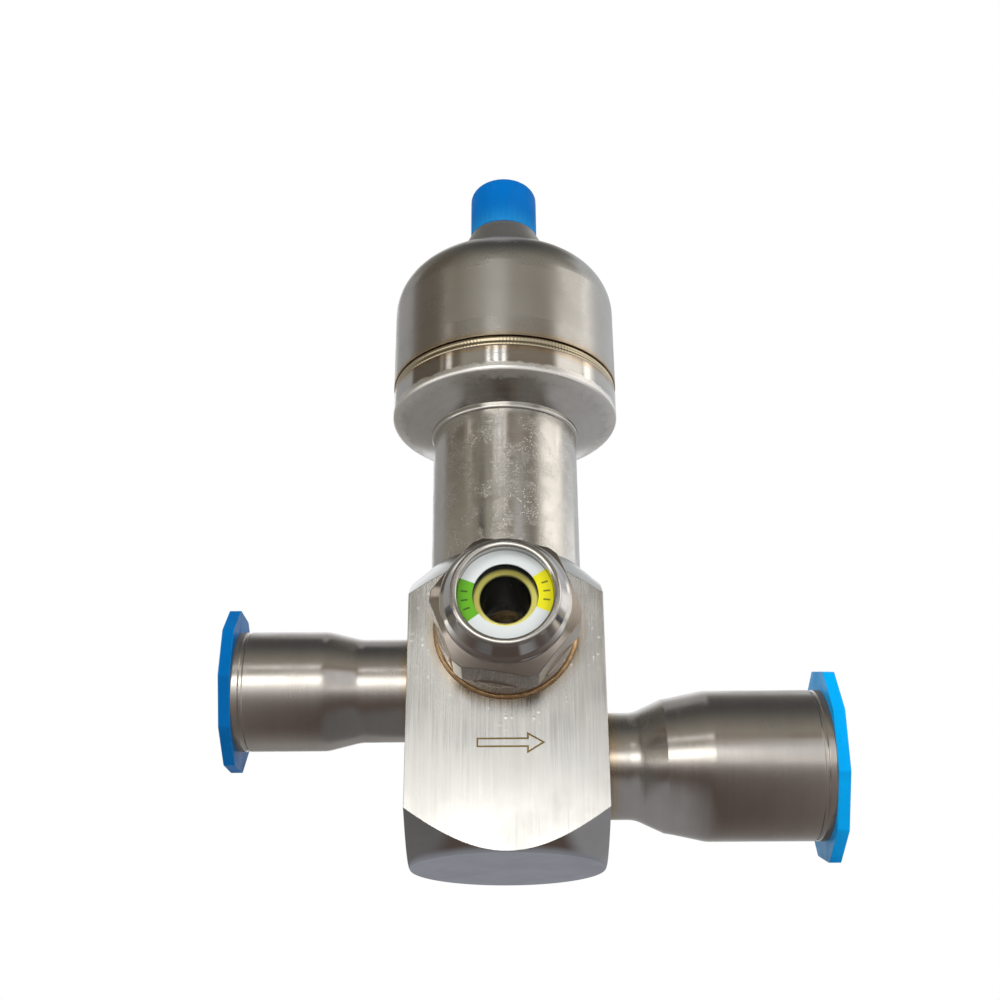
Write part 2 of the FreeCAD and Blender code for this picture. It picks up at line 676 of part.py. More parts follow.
def plug(label, turn, height, mouth, socket_radius, outside, reach, long_way, first_corner):
    """Push-in transport plug: a long flange with many sides and a hollow tapered spigot."""
    taper = s.lead_in_flare / s.lead_in_depth
    wide = socket_radius + s.lead_in_flare - s.plug_clearance
    narrow = wide - taper * s.plug_spigot
    inner_end = mouth - s.plug_spigot
    outer_end = mouth + s.plug_flange
    floor = inner_end + s.plug_wall
    across = outside + s.plug_ledge
    body = new_body(label, turn, (0, 0, height))
    corners = []
    for index in range(int(s.plug_sides.value)):
        angle = (as_size(360) * index + as_size(180) * first_corner) / s.plug_sides
        corners.append((reach * cosine(angle), across * sine(angle)))
    spin = FreeCAD.Rotation(FreeCAD.Vector(0, 0, 1), long_way.value)
    sketch = outline(body, "XY_Plane", corners, spin, (0, 0, mouth))
    sketch.setExpression(".AttachmentOffset.Rotation.Angle", long_way.text)
    flange = body.newObject("PartDesign::Pad", label + "_flange")
    flange.Profile = sketch
    flange.Length = s.plug_flange.value
    flange.setExpression("Length", s.plug_flange.text)
    doc.recompute()
    upright = [
        f"Edge{index}" for index, edge in enumerate(flange.Shape.Edges, start=1)
        if abs(edge.Vertexes[0].Z - edge.Vertexes[-1].Z) > s.plug_flange.value / 2
    ]
    rounded = body.newObject("PartDesign::Fillet", label + "_corners")
    rounded.Base = (flange, upright)
    rounded.Radius = s.plug_corner.value
    rounded.setExpression("Radius", s.plug_corner.text)
    revolve(body, "Revolution", outline(body, "XZ_Plane", [
        (0, inner_end),
        (narrow, inner_end),
        (wide, mouth),
        (wide, outer_end),
        (0, outer_end),
    ]))
    revolve(body, "Groove", outline(body, "XZ_Plane", [
        (0, floor),
        (narrow - s.plug_wall, floor),
        (wide - s.plug_wall, outer_end),
        (wide - s.plug_wall, outer_end + 1),
        (0, outer_end + 1),
    ]))


def column_tube():
    """Tube between the body and the motor, with a spigot in the bonnet bore."""
    spigot = bonnet_bore_radius - s.braze_gap
    turned("column_tube", [
        (s.column_bore_radius, column_foot),
        (spigot, column_foot),
        (spigot, s.body_height),
        (s.column_radius, s.body_height),
        (s.column_radius, column_top),
        (s.column_bore_radius, column_top),
    ])


def lower_housing():
    """Cup that carries the motor: hub, collar, sloped underside, polished band and rim."""
    hub = s.column_bore_radius - s.braze_gap
    collar = s.column_radius + s.collar_ledge
    shaft_hole = s.spindle_radius + s.spindle_hole_clearance
    groove = s.housing_radius - s.weld_groove_depth
    rim = can_inside - s.braze_gap
    edge = column_top + s.underside_rise
    body = turned("lower_housing", [
        (shaft_hole, hub_foot),
        (hub, hub_foot),
        (hub, column_top),
        (collar, column_top),
        (collar, column_top + s.collar_height),
        (s.housing_radius, edge),
        (s.housing_radius, band_top),
        (groove, band_top),
        (groove, can_edge),
        (rim, can_edge),
        (rim, rim_top),
        (rim - s.housing_rim_wall, rim_top),
        (rim - s.housing_rim_wall, floor_level),
        (s.bearing_radius + s.braze_gap, floor_level),
        (s.bearing_radius + s.braze_gap, lower_bearing_foot),
        (shaft_hole, lower_bearing_foot),
    ])
    dress(body, "Fillet", s.lip_radius, [(s.housing_radius, edge)])
    dress(body, "Fillet", s.collar_height / 2, [(collar, column_top)])
    housing_bosses(body)


def weld_bead():
    """Weld between housing and can: a ring with two low ridges in the groove."""
    foot = s.housing_radius - s.weld_groove_depth
    crest = s.housing_radius - s.weld_groove_depth / 4
    valley = s.housing_radius - s.weld_groove_depth / 2
    step = s.weld_groove_height / 6
    turned("weld_bead", [
        (foot, band_top),
        (valley, band_top),
        (crest, band_top + step),
        (crest, band_top + 2 * step),
        (valley, band_top + 3 * step),
        (crest, band_top + 4 * step),
        (crest, band_top + 5 * step),
        (valley, can_edge),
        (foot, can_edge),
    ])


def motor_can():
    """Drawn can with a large round shoulder and a hole for the connector."""
    ceiling = can_roof - s.can_wall
    hole = s.connector_hole_radius + s.braze_gap
    body = turned("motor_can", [
        (can_inside, can_edge),
        (can_radius, can_edge),
        (can_radius, can_roof),
        (hole, can_roof),
        (hole, ceiling),
        (can_inside, ceiling),
    ])
    dress(body, "Fillet", s.can_shoulder, [(can_radius, can_roof)])
    dress(body, "Fillet", s.can_shoulder - s.can_wall, [(can_inside, ceiling)])


def connector_shell():
    """Cone welded on the can with the tube that carries the M12 thread."""
    root = s.thread_radius - s.thread_relief
    relief_end = neck_top + s.thread_relief_width
    spigot_foot = can_roof - s.can_wall
    body = turned("connector_shell", [
        (s.connector_bore_radius, spigot_foot),
        (s.connector_hole_radius, spigot_foot),
        (s.connector_hole_radius, can_roof),
        (can_radius - s.can_shoulder - s.neck_ledge, can_roof),
        (cap_radius, neck_top),
        (root, neck_top),
        (root, relief_end),
        (s.thread_radius, relief_end + s.thread_relief),
        (s.thread_radius, thread_top),
        (s.connector_bore_radius, thread_top),
    ])
    dress(body, "Chamfer", s.thread_relief, [(s.thread_radius, thread_top)])


def connector_insert():
    """Moulded insert with four holes for the contact pins."""
    outer = s.connector_bore_radius - s.braze_gap
    foot = can_roof - s.can_wall
    body = turned("connector_insert", [
        (0, foot), (outer, foot), (outer, insert_top), (0, insert_top),
    ])
    hole = circles(body, "XY_Plane", [(s.pin_circle_radius, 0)], s.pin_radius + s.stack_gap)
    cut = pocket(body, hole)
    doc.recompute()
    around(body, cut, Size(PIN_COUNT), hole)


def contact_pins():
    """Four round contact pins with domed tips, which the winding leads reach from below."""
    radius = s.pin_radius.value
    length = (insert_top + s.pin_height - pin_foot).value
    pins = []
    for index in range(PIN_COUNT):
        angle = 2 * math.pi * index / PIN_COUNT
        across = s.pin_circle_radius.value * math.cos(angle)
        along = s.pin_circle_radius.value * math.sin(angle)
        shaft = Part.makeCylinder(radius, length, FreeCAD.Vector(across, along, pin_foot.value))
        tip = Part.makeSphere(radius, FreeCAD.Vector(across, along, pin_foot.value + length))
        pins.append(shaft.fuse(tip).removeSplitter())
    shaped("contact_pins", Part.makeCompound(pins))


def connector_cap():
    """Soft blue cap pushed over the thread."""
    ceiling = thread_top + s.cap_head_gap
    top = ceiling + s.cap_roof
    body = turned("connector_cap", [
        (cap_bore, neck_top),
        (cap_radius, neck_top),
        (cap_radius, top),
        (0, top),
        (0, ceiling),
        (cap_bore, ceiling),
    ])
    dress(body, "Fillet", s.cap_edge, [(cap_radius, top)])


sight_base = (0, -s.bar_side / 2, s.sight_axis_height)
hex_top = s.sight_base_height + s.sight_hex_height
bead_top = hex_top + s.sight_bead_height
sight_rim_top = bead_top + s.sight_rim_rise
pocket_floor = sight_rim_top - s.sight_pocket_depth

HEX_SIDES = 6


def flats(body, reach, bottom, top):
    """Mills six flats on a turned fitting, from one height to another."""
    past = reach * 2
    start = as_size(180) / as_size(HEX_SIDES) - s.sight_hex_turn
    spin = FreeCAD.Rotation(FreeCAD.Vector(0, 0, 1), start.value)
    beside = [(reach, -past), (past, -past), (past, past), (reach, past)]
    sketch = outline(body, "XY_Plane", beside, spin, (0, 0, bottom))
    sketch.setExpression(".AttachmentOffset.Rotation.Angle", start.text)
    cut = body.newObject("PartDesign::Pocket", body.Name + "_flat")
    cut.Profile = sketch
    cut.Reversed = True
    cut.Length = (top - bottom).value
    cut.setExpression("Length", (top - bottom).text)
    doc.recompute()
    around(body, cut, Size(HEX_SIDES), sketch)


def sight_glass_holder():
    """Hexagon fitting with a round base, a rounded bead and a rim round the glass."""
    corner = s.sight_corner_radius
    lead = corner - s.sight_hex_flats / 2
    neck = s.sight_bead_radius - s.sight_bead_round
    rim = s.sight_pocket_radius + s.sight_rim_wall
    body = turned("sight_glass_holder", [
        (s.sight_hole_radius, -s.sight_seat_depth),
        (s.sight_seat_radius, -s.sight_seat_depth),
        (s.sight_seat_radius, 0),
        (s.sight_base_radius, 0),
        (s.sight_base_radius, s.sight_base_height),
        (corner, s.sight_base_height),
        (corner, hex_top - lead),
        (corner - lead * 2, hex_top),
        (neck, hex_top),
        (neck, bead_top - s.sight_bead_round * 3),
        (s.sight_bead_radius, bead_top - s.sight_bead_round * 2),
        (s.sight_bead_radius, bead_top - s.sight_bead_round),
        (neck, bead_top),
        (rim, sight_rim_top - s.sight_rim_height),
        (rim, sight_rim_top),
        (s.sight_pocket_radius, sight_rim_top),
        (s.sight_pocket_radius, pocket_floor),
        (s.sight_hole_radius, pocket_floor),
    ], FRONT, sight_base)
    flats(body, s.sight_hex_flats / 2, s.sight_base_height, hex_top)
    dress(body, "Fillet", s.sight_bead_round, [
        (s.sight_bead_radius, bead_top - s.sight_bead_round * 2),
        (s.sight_bead_radius, bead_top - s.sight_bead_round),
    ])
    dress(body, "Fillet", s.sight_rim_wall * s.sight_rim_soften, [
        (rim, sight_rim_top),
        (s.sight_pocket_radius, sight_rim_top),
    ])


def sight_glass_parts():
    """What lies in the fitting: copper fillet, moisture element, glass and dial."""
    width = s.braze_ring_width
    turned("sight_braze_ring", [
        (s.sight_base_radius, 0),
        (s.sight_base_radius + width, 0),
        (s.sight_base_radius + width * s.braze_hollow, width * s.braze_hollow),
        (s.sight_base_radius, width),
    ], FRONT, sight_base)
    outer = s.sight_pocket_radius - s.stack_gap
    element_top = pocket_floor + s.element_thickness
    glass_foot = element_top + s.stack_gap
    glass_top = glass_foot + s.glass_thickness
    ring("moisture_element", s.sight_hole_radius, s.element_outer_radius, pocket_floor,
         element_top, FRONT, sight_base)
    ring("element_spacer", s.element_outer_radius + s.stack_gap, outer, pocket_floor,
         element_top, FRONT, sight_base)
    turned("sight_glass", [(0, glass_foot), (outer, glass_foot), (outer, glass_top), (0, glass_top)],
           FRONT, sight_base)
    ring("indicator_dial", s.dial_hole_radius, outer, glass_top, glass_top + s.dial_thickness,
         FRONT, sight_base)


def seat():
    """Seat ring on its shelf, with the soft seal that the piston's lip closes on."""
    ring("seat_ring", guide_bore, chamber_radius - s.seat_ring_gap, s.seat_shelf_height, seat_top)
    ring("seat_seal", guide_bore, chamber_radius - s.seat_seal_margin, seat_top, closing_face)


def piston():
    """Balanced piston: slotted skirt, closing lip, web with balance holes and hollow top."""
    skirt_foot = closing_face - s.piston_skirt
    hollow = nut_radius - s.nut_shoulder
    lip = chamber_radius - s.piston_lip_room
    body = turned("piston", [
        (piston_radius - s.piston_skirt_wall, skirt_foot),
        (piston_radius, skirt_foot),
        (piston_radius, closing_face),
        (lip, closing_face),
        (lip, closing_face + s.piston_lip_height),
        (piston_radius, closing_face + s.piston_lip_height),
        (piston_radius, piston_top),
        (nut_radius, piston_top),
        (nut_radius, piston_top - s.nut_depth),
        (hollow, piston_top - s.nut_depth),
        (hollow, closing_face + s.piston_web),
        (0, closing_face + s.piston_web),
        (0, closing_face),
        (piston_radius - s.piston_skirt_wall, closing_face),
    ])
    slot_top = skirt_foot + s.slot_height
    slot = outline(body, "XZ_Plane", [
        (-s.slot_width / 2, skirt_foot - 1),
        (s.slot_width / 2, skirt_foot - 1),
        (s.slot_top_width / 2, slot_top),
        (-s.slot_top_width / 2, slot_top),
    ])
    cut = body.newObject("PartDesign::Pocket", "piston_slot")
    cut.Profile = slot
    cut.Length = (piston_radius + 1).value
    cut.setExpression("Length", (piston_radius + 1).text)
    doc.recompute()
    level = circles(body, "XY_Plane", [(s.balance_hole_circle, 0)], s.balance_hole_radius)
    around(body, cut, s.slot_count, level)
    doc.recompute()
    hole = pocket(body, level)
    doc.recompute()
    around(body, hole, s.balance_hole_count, level)


def drive_nut():
    """Bronze nut in the piston, with two keys that slide in the guide tube's slots."""
    body = turned("drive_nut", [
        (s.screw_radius + s.screw_clearance, piston_top - s.nut_depth),
        (nut_radius - s.braze_gap, piston_top - s.nut_depth),
        (nut_radius - s.braze_gap, piston_top),
        (nut_flange_radius, piston_top),
        (nut_flange_radius, nut_top),
        (s.screw_radius + s.screw_clearance, nut_top),
    ])
    half = s.key_width / 2
    middle = (s.screw_radius + nut_flange_radius) / 2
    reach = s.column_bore_radius - s.key_end_gap
    for side in (-1, 1):
        near, far = side * middle, side * reach
        key = outline(body, "XY_Plane", [(near, -half), (far, -half), (far, half), (near, half)],
                      None, (0, 0, piston_top))
        pad = body.newObject("PartDesign::Pad", "drive_nut_key")
        pad.Profile = key
        pad.Length = s.nut_flange_height.value
        pad.setExpression("Length", s.nut_flange_height.text)


def piston_guide():
    """Guide bush for the piston, with the piston ring's groove and a flange under the column."""
    groove_foot = guide_foot + s.ring_groove_lift
    groove_top = groove_foot + s.ring_groove_height
    groove_radius = guide_bore + s.ring_groove_depth
    body_radius = chamber_radius - s.braze_gap
    flange = bonnet_bore_radius - s.guide_flange_side
    turned("piston_guide", [
        (guide_bore, guide_foot),
        (body_radius, guide_foot),
        (body_radius, bonnet_shelf),
        (flange, bonnet_shelf),
        (flange, bonnet_shelf + s.guide_flange_height),
        (guide_neck, bonnet_shelf + s.guide_flange_height),
        (guide_neck, guide_top),
        (guide_bore, guide_top),
        (guide_bore, groove_top),
        (groove_radius, groove_top),
        (groove_radius, groove_foot),
        (guide_bore, groove_foot),
    ])
    ring("piston_ring", guide_bore, groove_radius - s.ring_side_gap,
         groove_foot + s.ring_side_gap, groove_top - s.ring_side_gap)


def key_tube():
    """Tube in the column with two long slots, open at the top, for the nut's keys."""
    foot = bonnet_shelf + s.guide_flange_height + s.ring_side_gap
    top = hub_foot - s.key_tube_end_gap
    outer = s.column_bore_radius - s.key_tube_gap
    body = ring("key_tube", key_tube_bore, outer, foot, top)
    half = s.key_width / 2 + s.key_clearance
    slot_foot = piston_top - s.key_slot_margin
    slot = outline(body, "YZ_Plane", [
        (-half, slot_foot), (half, slot_foot), (half, top + 1), (-half, top + 1),
    ])
    pocket(body, slot)


def spindle():
    """Rotor shaft: lead screw below, rotor seat between the bearings, clip groove at the top."""
    foot = closing_face + s.piston_web + piston_stroke + s.screw_end_gap
    groove = s.screw_radius - s.clip_groove_depth
    body = turned("spindle", [
        (0, foot),
        (s.screw_radius, foot),
        (s.screw_radius, lower_bearing_top),
        (s.spindle_radius, lower_bearing_top),
        (s.spindle_radius, upper_bearing_foot),
        (s.screw_radius, upper_bearing_foot),
        (s.screw_radius, clip_foot),
        (groove, clip_foot),
        (groove, clip_top),
        (s.screw_radius, clip_top),
        (s.screw_radius, spindle_end),
        (0, spindle_end),
    ])
    dress(body, "Chamfer", s.clip_groove_depth, [(s.screw_radius, foot)])
    ring("retaining_clip", groove + s.stack_gap, s.screw_radius + s.clip_width - s.clip_groove_depth,
         clip_foot + s.stack_gap / 2, clip_foot + s.stack_gap / 2 + s.clip_thickness)


def bearing(place, foot):
    """Ball bearing: an outer ring in its seat, an inner ring on the spindle and its balls."""
    top = foot + s.bearing_width
    ring(f"{place}_bearing_outer", s.bearing_radius - s.bearing_ring, s.bearing_radius, foot, top)
    ring(f"{place}_bearing_inner", s.screw_radius + s.braze_gap, s.screw_radius + s.bearing_ring,
         foot, top)
    outer_race = s.bearing_radius.value - s.bearing_ring.value
    inner_race = s.screw_radius.value + s.bearing_ring.value
    track = (outer_race + inner_race) / 2
    ball_radius = (outer_race - inner_race) / 2 - s.ball_gap.value
    middle = foot.value + s.bearing_width.value / 2
    balls = []
    count = int(s.ball_count.value)
    for index in range(count):
        angle = 2 * math.pi * index / count
        centre = FreeCAD.Vector(track * math.cos(angle), track * math.sin(angle), middle)
        balls.append(Part.makeSphere(ball_radius, centre))
    shaped(f"{place}_bearing_balls", Part.makeCompound(balls))


def rotor_stack(label, foot, shift):
    """One toothed rotor stack; the two stacks are half a tooth apart."""
    bore_radius = s.spindle_radius + s.braze_gap
    body = ring(label, bore_radius, rotor_radius, foot, foot + rotor_stack_height)
    half = s.tooth_gap_width / 2
    root, past = rotor_radius - s.tooth_depth, rotor_radius + 1
    turn = FreeCAD.Rotation(FreeCAD.Vector(0, 0, 1), shift * 360 / s.rotor_teeth.value)
    gap = outline(body, "XY_Plane", [(root, -half), (past, -half), (past, half), (root, half)], turn)
    gap.setExpression(".AttachmentOffset.Rotation.Angle", f"{shift} * 360 / {s.rotor_teeth.text}")
    cut = pocket(body, gap)
    doc.recompute()
    around(body, cut, s.rotor_teeth, gap)


def rotor():
    """Hybrid rotor: a magnet disc between two toothed stacks."""
    foot = stator_foot + s.rotor_inset
    rotor_stack("rotor_lower_stack", foot, 0)
    magnet_foot = foot + rotor_stack_height
    magnet_top = magnet_foot + s.magnet_height
    bore_radius = s.spindle_radius + s.braze_gap
    ring("rotor_magnet", bore_radius, rotor_radius - s.magnet_inset, magnet_foot, magnet_top)
    rotor_stack("rotor_upper_stack", magnet_top, 0.5)


def stator():
    """Stator stack: a yoke, poles with wide shoes and a tooth row round the bore."""
    body = ring("stator_stack", stator_bore, can_inside - s.stator_gap, stator_foot, stator_top)
    side = pole_width / 2
    opening = s.slot_opening / 2
    cos_half, sin_half = cosine(half_pitch), sine(half_pitch)
    back = stator_bore + s.shoe_depth
    near = (back * cos_half + side * sin_half, back * sin_half - side * cos_half)
    far_reach = yoke_inside - side * side / yoke_inside / 2
    far = (far_reach * cos_half + side * sin_half, far_reach * sin_half - side * cos_half)
    slot = outline(body, "XY_Plane", [
        (stator_bore - 1, -opening),
        (stator_bore + s.shoe_depth / 2, -opening),
        (near[0], -near[1]),
        (far[0], -far[1]),
        (yoke_inside, -far[1] / 2),
        (yoke_inside, far[1] / 2),
        far,
        near,
        (stator_bore + s.shoe_depth / 2, opening),
        (stator_bore - 1, opening),
    ], FreeCAD.Rotation(FreeCAD.Vector(0, 0, 1), half_pitch.value))
    slot.setExpression(".AttachmentOffset.Rotation.Angle", half_pitch.text)
    cut = pocket(body, slot)
    doc.recompute()
    around(body, cut, s.pole_count, slot)
    doc.recompute()
    half = s.tooth_gap_width / 2
    root = stator_bore + s.tooth_depth
    gap = outline(body, "XY_Plane", [
        (stator_bore - 1, -half), (root, -half), (root, half), (stator_bore - 1, half),
    ])
    teeth = pocket(body, gap)
    doc.recompute()
    around(body, teeth, s.stator_teeth, gap)


def motor_coils():
    """Coils, one round each pole."""
    hole_half = pole_width.value / 2 + s.coil_gap.value
    hole_end = s.coil_gap.value
    side, end = coil_side.value, s.coil_end.value
    start, depth = coil_inner.value, (coil_outer - coil_inner).value
    bottom = stator_foot.value - hole_end
    tall = s.stator_height.value + 2 * hole_end
    corner = FreeCAD.Vector(start, -hole_half - side, bottom - end)
    block = Part.makeBox(depth, 2 * (hole_half + side), tall + 2 * end, corner)
    upright = [edge for edge in block.Edges if abs(edge.tangentAt(edge.FirstParameter).x) > 0.9]
    block = block.makeFillet(side * s.coil_soften.value, upright)
    hole = Part.makeBox(depth, 2 * hole_half, tall, FreeCAD.Vector(start, -hole_half, bottom))
    coil = block.cut(hole)
    count = int(s.pole_count.value)
    coils = []
    for index in range(count):
        copy = coil.copy()
        copy.rotate(FreeCAD.Vector(), FreeCAD.Vector(0, 0, 1), 360 * index / count)
        coils.append(copy)
    shaped("motor_coils", Part.makeCompound(coils))


def screw_places(count):
    """Angles of the motor screws, which stand in slots between the poles."""
    first = math.pi / s.pole_count.value
    return [first + 2 * math.pi * index / count for index in range(count)]


def end_frame():
    """Upper end frame: a skirt on the stator, a plate and a hub for the upper bearing."""
    bearing_end = upper_bearing_foot - s.frame_hub_margin
    seat_radius = s.bearing_radius + s.braze_gap
    hub_radius = seat_radius + s.frame_hub_wall
    outer = can_inside - s.frame_can_gap
    body = turned("end_frame", [
        (yoke_inside, stator_top),
        (outer, stator_top),
        (outer, frame_top - s.frame_chamfer),
        (outer - s.frame_chamfer, frame_top),
        (hub_radius, frame_top),
        (hub_radius, frame_top + s.frame_lip),
        (s.frame_lip_radius, frame_top + s.frame_lip),
        (s.frame_lip_radius, frame_top),
        (seat_radius, frame_top),
        (seat_radius, bearing_end),
        (hub_radius, bearing_end),
        (hub_radius, plate_foot),
        (yoke_inside, plate_foot),
    ])
    holes = circles(body, "XY_Plane", [first_slot(screw_circle)],
                    s.motor_screw_radius + s.motor_screw_clearance, (0, 0, frame_top))
    cut = pocket(body, holes)
    doc.recompute()
    around(body, cut, s.screw_count, holes)
    doc.recompute()
    passage = circles(body, "XY_Plane", [(lead_circle, 0)],
                      s.lead_radius + s.lead_hole_clearance, (0, 0, frame_top))
    lead_cut = pocket(body, passage)
    doc.recompute()
    around(body, lead_cut, Size(PIN_COUNT), passage)


def housing_bosses(body):
    """Bosses in the housing that the motor screws thread into."""
    radius = s.boss_radius
    level = circles(body, "XY_Plane", [first_slot(screw_circle)], radius, (0, 0, floor_level))
    pad = body.newObject("PartDesign::Pad", "lower_housing_boss")
    pad.Profile = level
    pad.Length = s.boss_height.value
    pad.setExpression("Length", s.boss_height.text)
    doc.recompute()
    around(body, pad, s.screw_count, level)
    doc.recompute()
    top = floor_level + s.boss_height
    hole_radius = s.motor_screw_radius + s.stack_gap
    thread = circles(body, "XY_Plane", [first_slot(screw_circle)], hole_radius, (0, 0, top))
    cut = body.newObject("PartDesign::Pocket", "lower_housing_thread")
    cut.Profile = thread
    cut.Length = s.boss_thread.value
    cut.setExpression("Length", s.boss_thread.text)
    doc.recompute()
    around(body, cut, s.screw_count, thread)


def motor_screws():
    """Long screws from the end frame through the winding slots into the housing's bosses."""
    foot = floor_level + s.boss_height - s.boss_thread + s.stack_gap
    length = frame_top - foot
    count = int(s.screw_count.value)
    screws = []
    for angle in screw_places(count):
        across = screw_circle.value * math.cos(angle)
        along = screw_circle.value * math.sin(angle)
        shank = Part.makeCylinder(s.motor_screw_radius.value, length.value,
                                  FreeCAD.Vector(across, along, foot.value))
        head = Part.makeCylinder(s.motor_screw_head.value, s.motor_screw_head_height.value,
                                 FreeCAD.Vector(across, along, frame_top.value))
        screws.append(shank.fuse(head).removeSplitter())
    shaped("motor_screws", Part.makeCompound(screws))


def spring_washer():
    """Washer spring that preloads the upper bearing."""
    ring("preload_spring", s.frame_lip_radius, s.bearing_radius - s.bearing_ring / 2,
         upper_bearing_top, frame_top)


def bent_lead(angle, start, end):
    """One round lead: up from the windings, across the can and up to its pin."""
    radius, bend = s.lead_radius.value, s.lead_bend.value
    level, outer, inner = lead_level.value, lead_circle.value, s.pin_circle_radius.value
    quarter = bend * (1 - math.sqrt(0.5))

    def place(reach, height):
        return FreeCAD.Vector(reach, 0, height)

    path = Part.Wire([
        Part.LineSegment(place(outer, start), place(outer, level - bend)).toShape(),
        Part.Arc(place(outer, level - bend), place(outer - quarter, level - quarter),
                 place(outer - bend, level)).toShape(),
        Part.LineSegment(place(outer - bend, level), place(inner + bend, level)).toShape(),
        Part.Arc(place(inner + bend, level), place(inner + quarter, level + quarter),
                 place(inner, level + bend)).toShape(),
        Part.LineSegment(place(inner, level + bend), place(inner, end)).toShape(),
    ])
    section = Part.Wire(Part.makeCircle(radius, place(outer, start), FreeCAD.Vector(0, 0, 1)))
    lead = path.makePipeShell([section], True, False)
    lead.rotate(FreeCAD.Vector(), FreeCAD.Vector(0, 0, 1), math.degrees(angle))
    return lead


def winding_leads():
    """Four leads from the windings to the contact pins."""
    start = (stator_top + s.coil_gap + s.coil_end).value
    end = pin_foot.value
    leads = []
    for index in range(PIN_COUNT):
        leads.append(bent_lead(2 * math.pi * index / PIN_COUNT, start, end))
    shaped("winding_leads", Part.makeCompound(leads))


valve_body()
inlet_pipe()
outlet_pipe()
plug("inlet_plug", LEFT, s.inlet_axis_height, s.inlet_mouth, s.inlet_socket_radius,
     inlet_outside, s.inlet_plug_reach, s.inlet_plug_turn, 0)
plug("outlet_plug", RIGHT, s.outlet_axis_height, s.outlet_mouth, s.outlet_socket_radius,
     outlet_outside, s.outlet_plug_reach, s.outlet_plug_turn, 1)
column_tube()
lower_housing()
weld_bead()
motor_can()
connector_shell()
connector_insert()
contact_pins()
connector_cap()
sight_glass_holder()
sight_glass_parts()
seat()
piston()
drive_nut()
piston_guide()
key_tube()
spindle()
bearing("lower", lower_bearing_foot)
bearing("upper", upper_bearing_foot)
rotor()
stator()
motor_coils()
end_frame()
motor_screws()
spring_washer()
winding_leads()
doc.recompute()

for item in doc.Objects:
    if "Invalid" in item.State or "Error" in item.State:
        raise RuntimeError(f"{item.Label} failed: {item.State}")
for node in nodes:
    if node.Shape.isNull() or not node.Shape.isValid():
        raise RuntimeError(f"{node.Label} has no sound shape")

os.makedirs("parts", exist_ok=True)
for node in nodes:
    node.Shape.exportStep(f"parts/{node.Label}.step")
    box = node.Shape.BoundBox
    print(f"{node.Label}: {len(node.Shape.Solids)} solid, {node.Shape.Volume:.1f} mm3, "
          f"x {box.XMin:.2f} to {box.XMax:.2f}, y {box.YMin:.2f} to {box.YMax:.2f}, "
          f"z {box.ZMin:.2f} to {box.ZMax:.2f}")
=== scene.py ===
import math

import bmesh
import bpy
from mathutils import Matrix, Vector, noise


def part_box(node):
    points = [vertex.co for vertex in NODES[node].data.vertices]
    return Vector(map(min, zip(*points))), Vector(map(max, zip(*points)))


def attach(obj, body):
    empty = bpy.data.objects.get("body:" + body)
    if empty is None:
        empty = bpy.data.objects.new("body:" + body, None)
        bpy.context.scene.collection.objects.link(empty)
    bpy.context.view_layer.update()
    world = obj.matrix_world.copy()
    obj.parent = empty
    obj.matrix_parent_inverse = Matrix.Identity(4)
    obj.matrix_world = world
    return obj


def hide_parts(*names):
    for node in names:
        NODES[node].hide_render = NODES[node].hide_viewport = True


bl_info = {
    "name": "Expansion Valve Finish",
    "version": (1, 0, 0),
    "blender": (4, 5, 0),
    "location": "3D View > Sidebar > Valve",
    "description": "Finishes an expansion valve: steel, braze, plastic, glass and studio",
    "category": "Object",
}

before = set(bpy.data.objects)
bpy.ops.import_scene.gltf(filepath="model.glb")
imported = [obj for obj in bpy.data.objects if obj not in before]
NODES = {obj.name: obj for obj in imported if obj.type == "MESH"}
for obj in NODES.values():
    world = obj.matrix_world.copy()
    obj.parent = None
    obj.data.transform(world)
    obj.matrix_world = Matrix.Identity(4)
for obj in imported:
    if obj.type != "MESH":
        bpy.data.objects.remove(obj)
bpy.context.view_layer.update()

MM = 0.001
UP, ALONG_X, ALONG_Y = "Z", "X", "Y"
ORIGIN = (0, 0, 0)
DEGREES = 180 / math.pi

# where the CAD has what the textures follow, in millimetres
BODY_FACE = 20.0
INLET_HEIGHT, OUTLET_HEIGHT, SIGHT_HEIGHT = 37.7, 21.1, 44.5
INLET_TUBE, OUTLET_TUBE, SIGHT_BASE = 10.95, 11.0, 14.2
LIP_FOOT, LABEL_HEIGHT = 102.3, 122.5

# how far the heat tint reaches from a joint, in millimetres
BAND_HEAT, CAN_HEAT, FITTING_HEAT = 1.6, 2.2, 3.0

GLINT = (0.97, 0.96, 0.94)
# the paler blue of a painted highlight on the plastic's edges, and the grey that steel mirrors of
# the plastic
PLASTIC_EDGE_HIGHLIGHT, PLASTIC_MIRRORED = (0.06, 0.52, 0.86), (0.20, 0.20, 0.21)


def from_screen(red, green, blue):
    """A colour given as it looks on a screen, from 0 to 255, as scene-linear values."""
    def linear(value):
        value = value / 255
        return value / 12.92 if value <= 0.04045 else ((value + 0.055) / 1.055) ** 2.4
    return linear(red), linear(green), linear(blue)


def length(name, description, default):
    """A size in metres, given in millimetres."""
    return bpy.props.FloatProperty(name=name, description=description, default=default * MM,
                                   min=0.0, precision=5, unit="LENGTH")


def tint(name, description, default):
    """A colour that a user may change."""
    return bpy.props.FloatVectorProperty(name=name, description=description, default=default,
                                         size=3, min=0.0, max=1.0, subtype="COLOR")


def share(name, description, default):
    """A share from 0 to 1."""
    return bpy.props.FloatProperty(name=name, description=description, default=default,
                                   min=0.0, max=1.0, subtype="FACTOR")


def turning(name, description, default):
    """An angle in radians."""
    return bpy.props.FloatProperty(name=name, description=description, default=default,
                                   subtype="ANGLE")


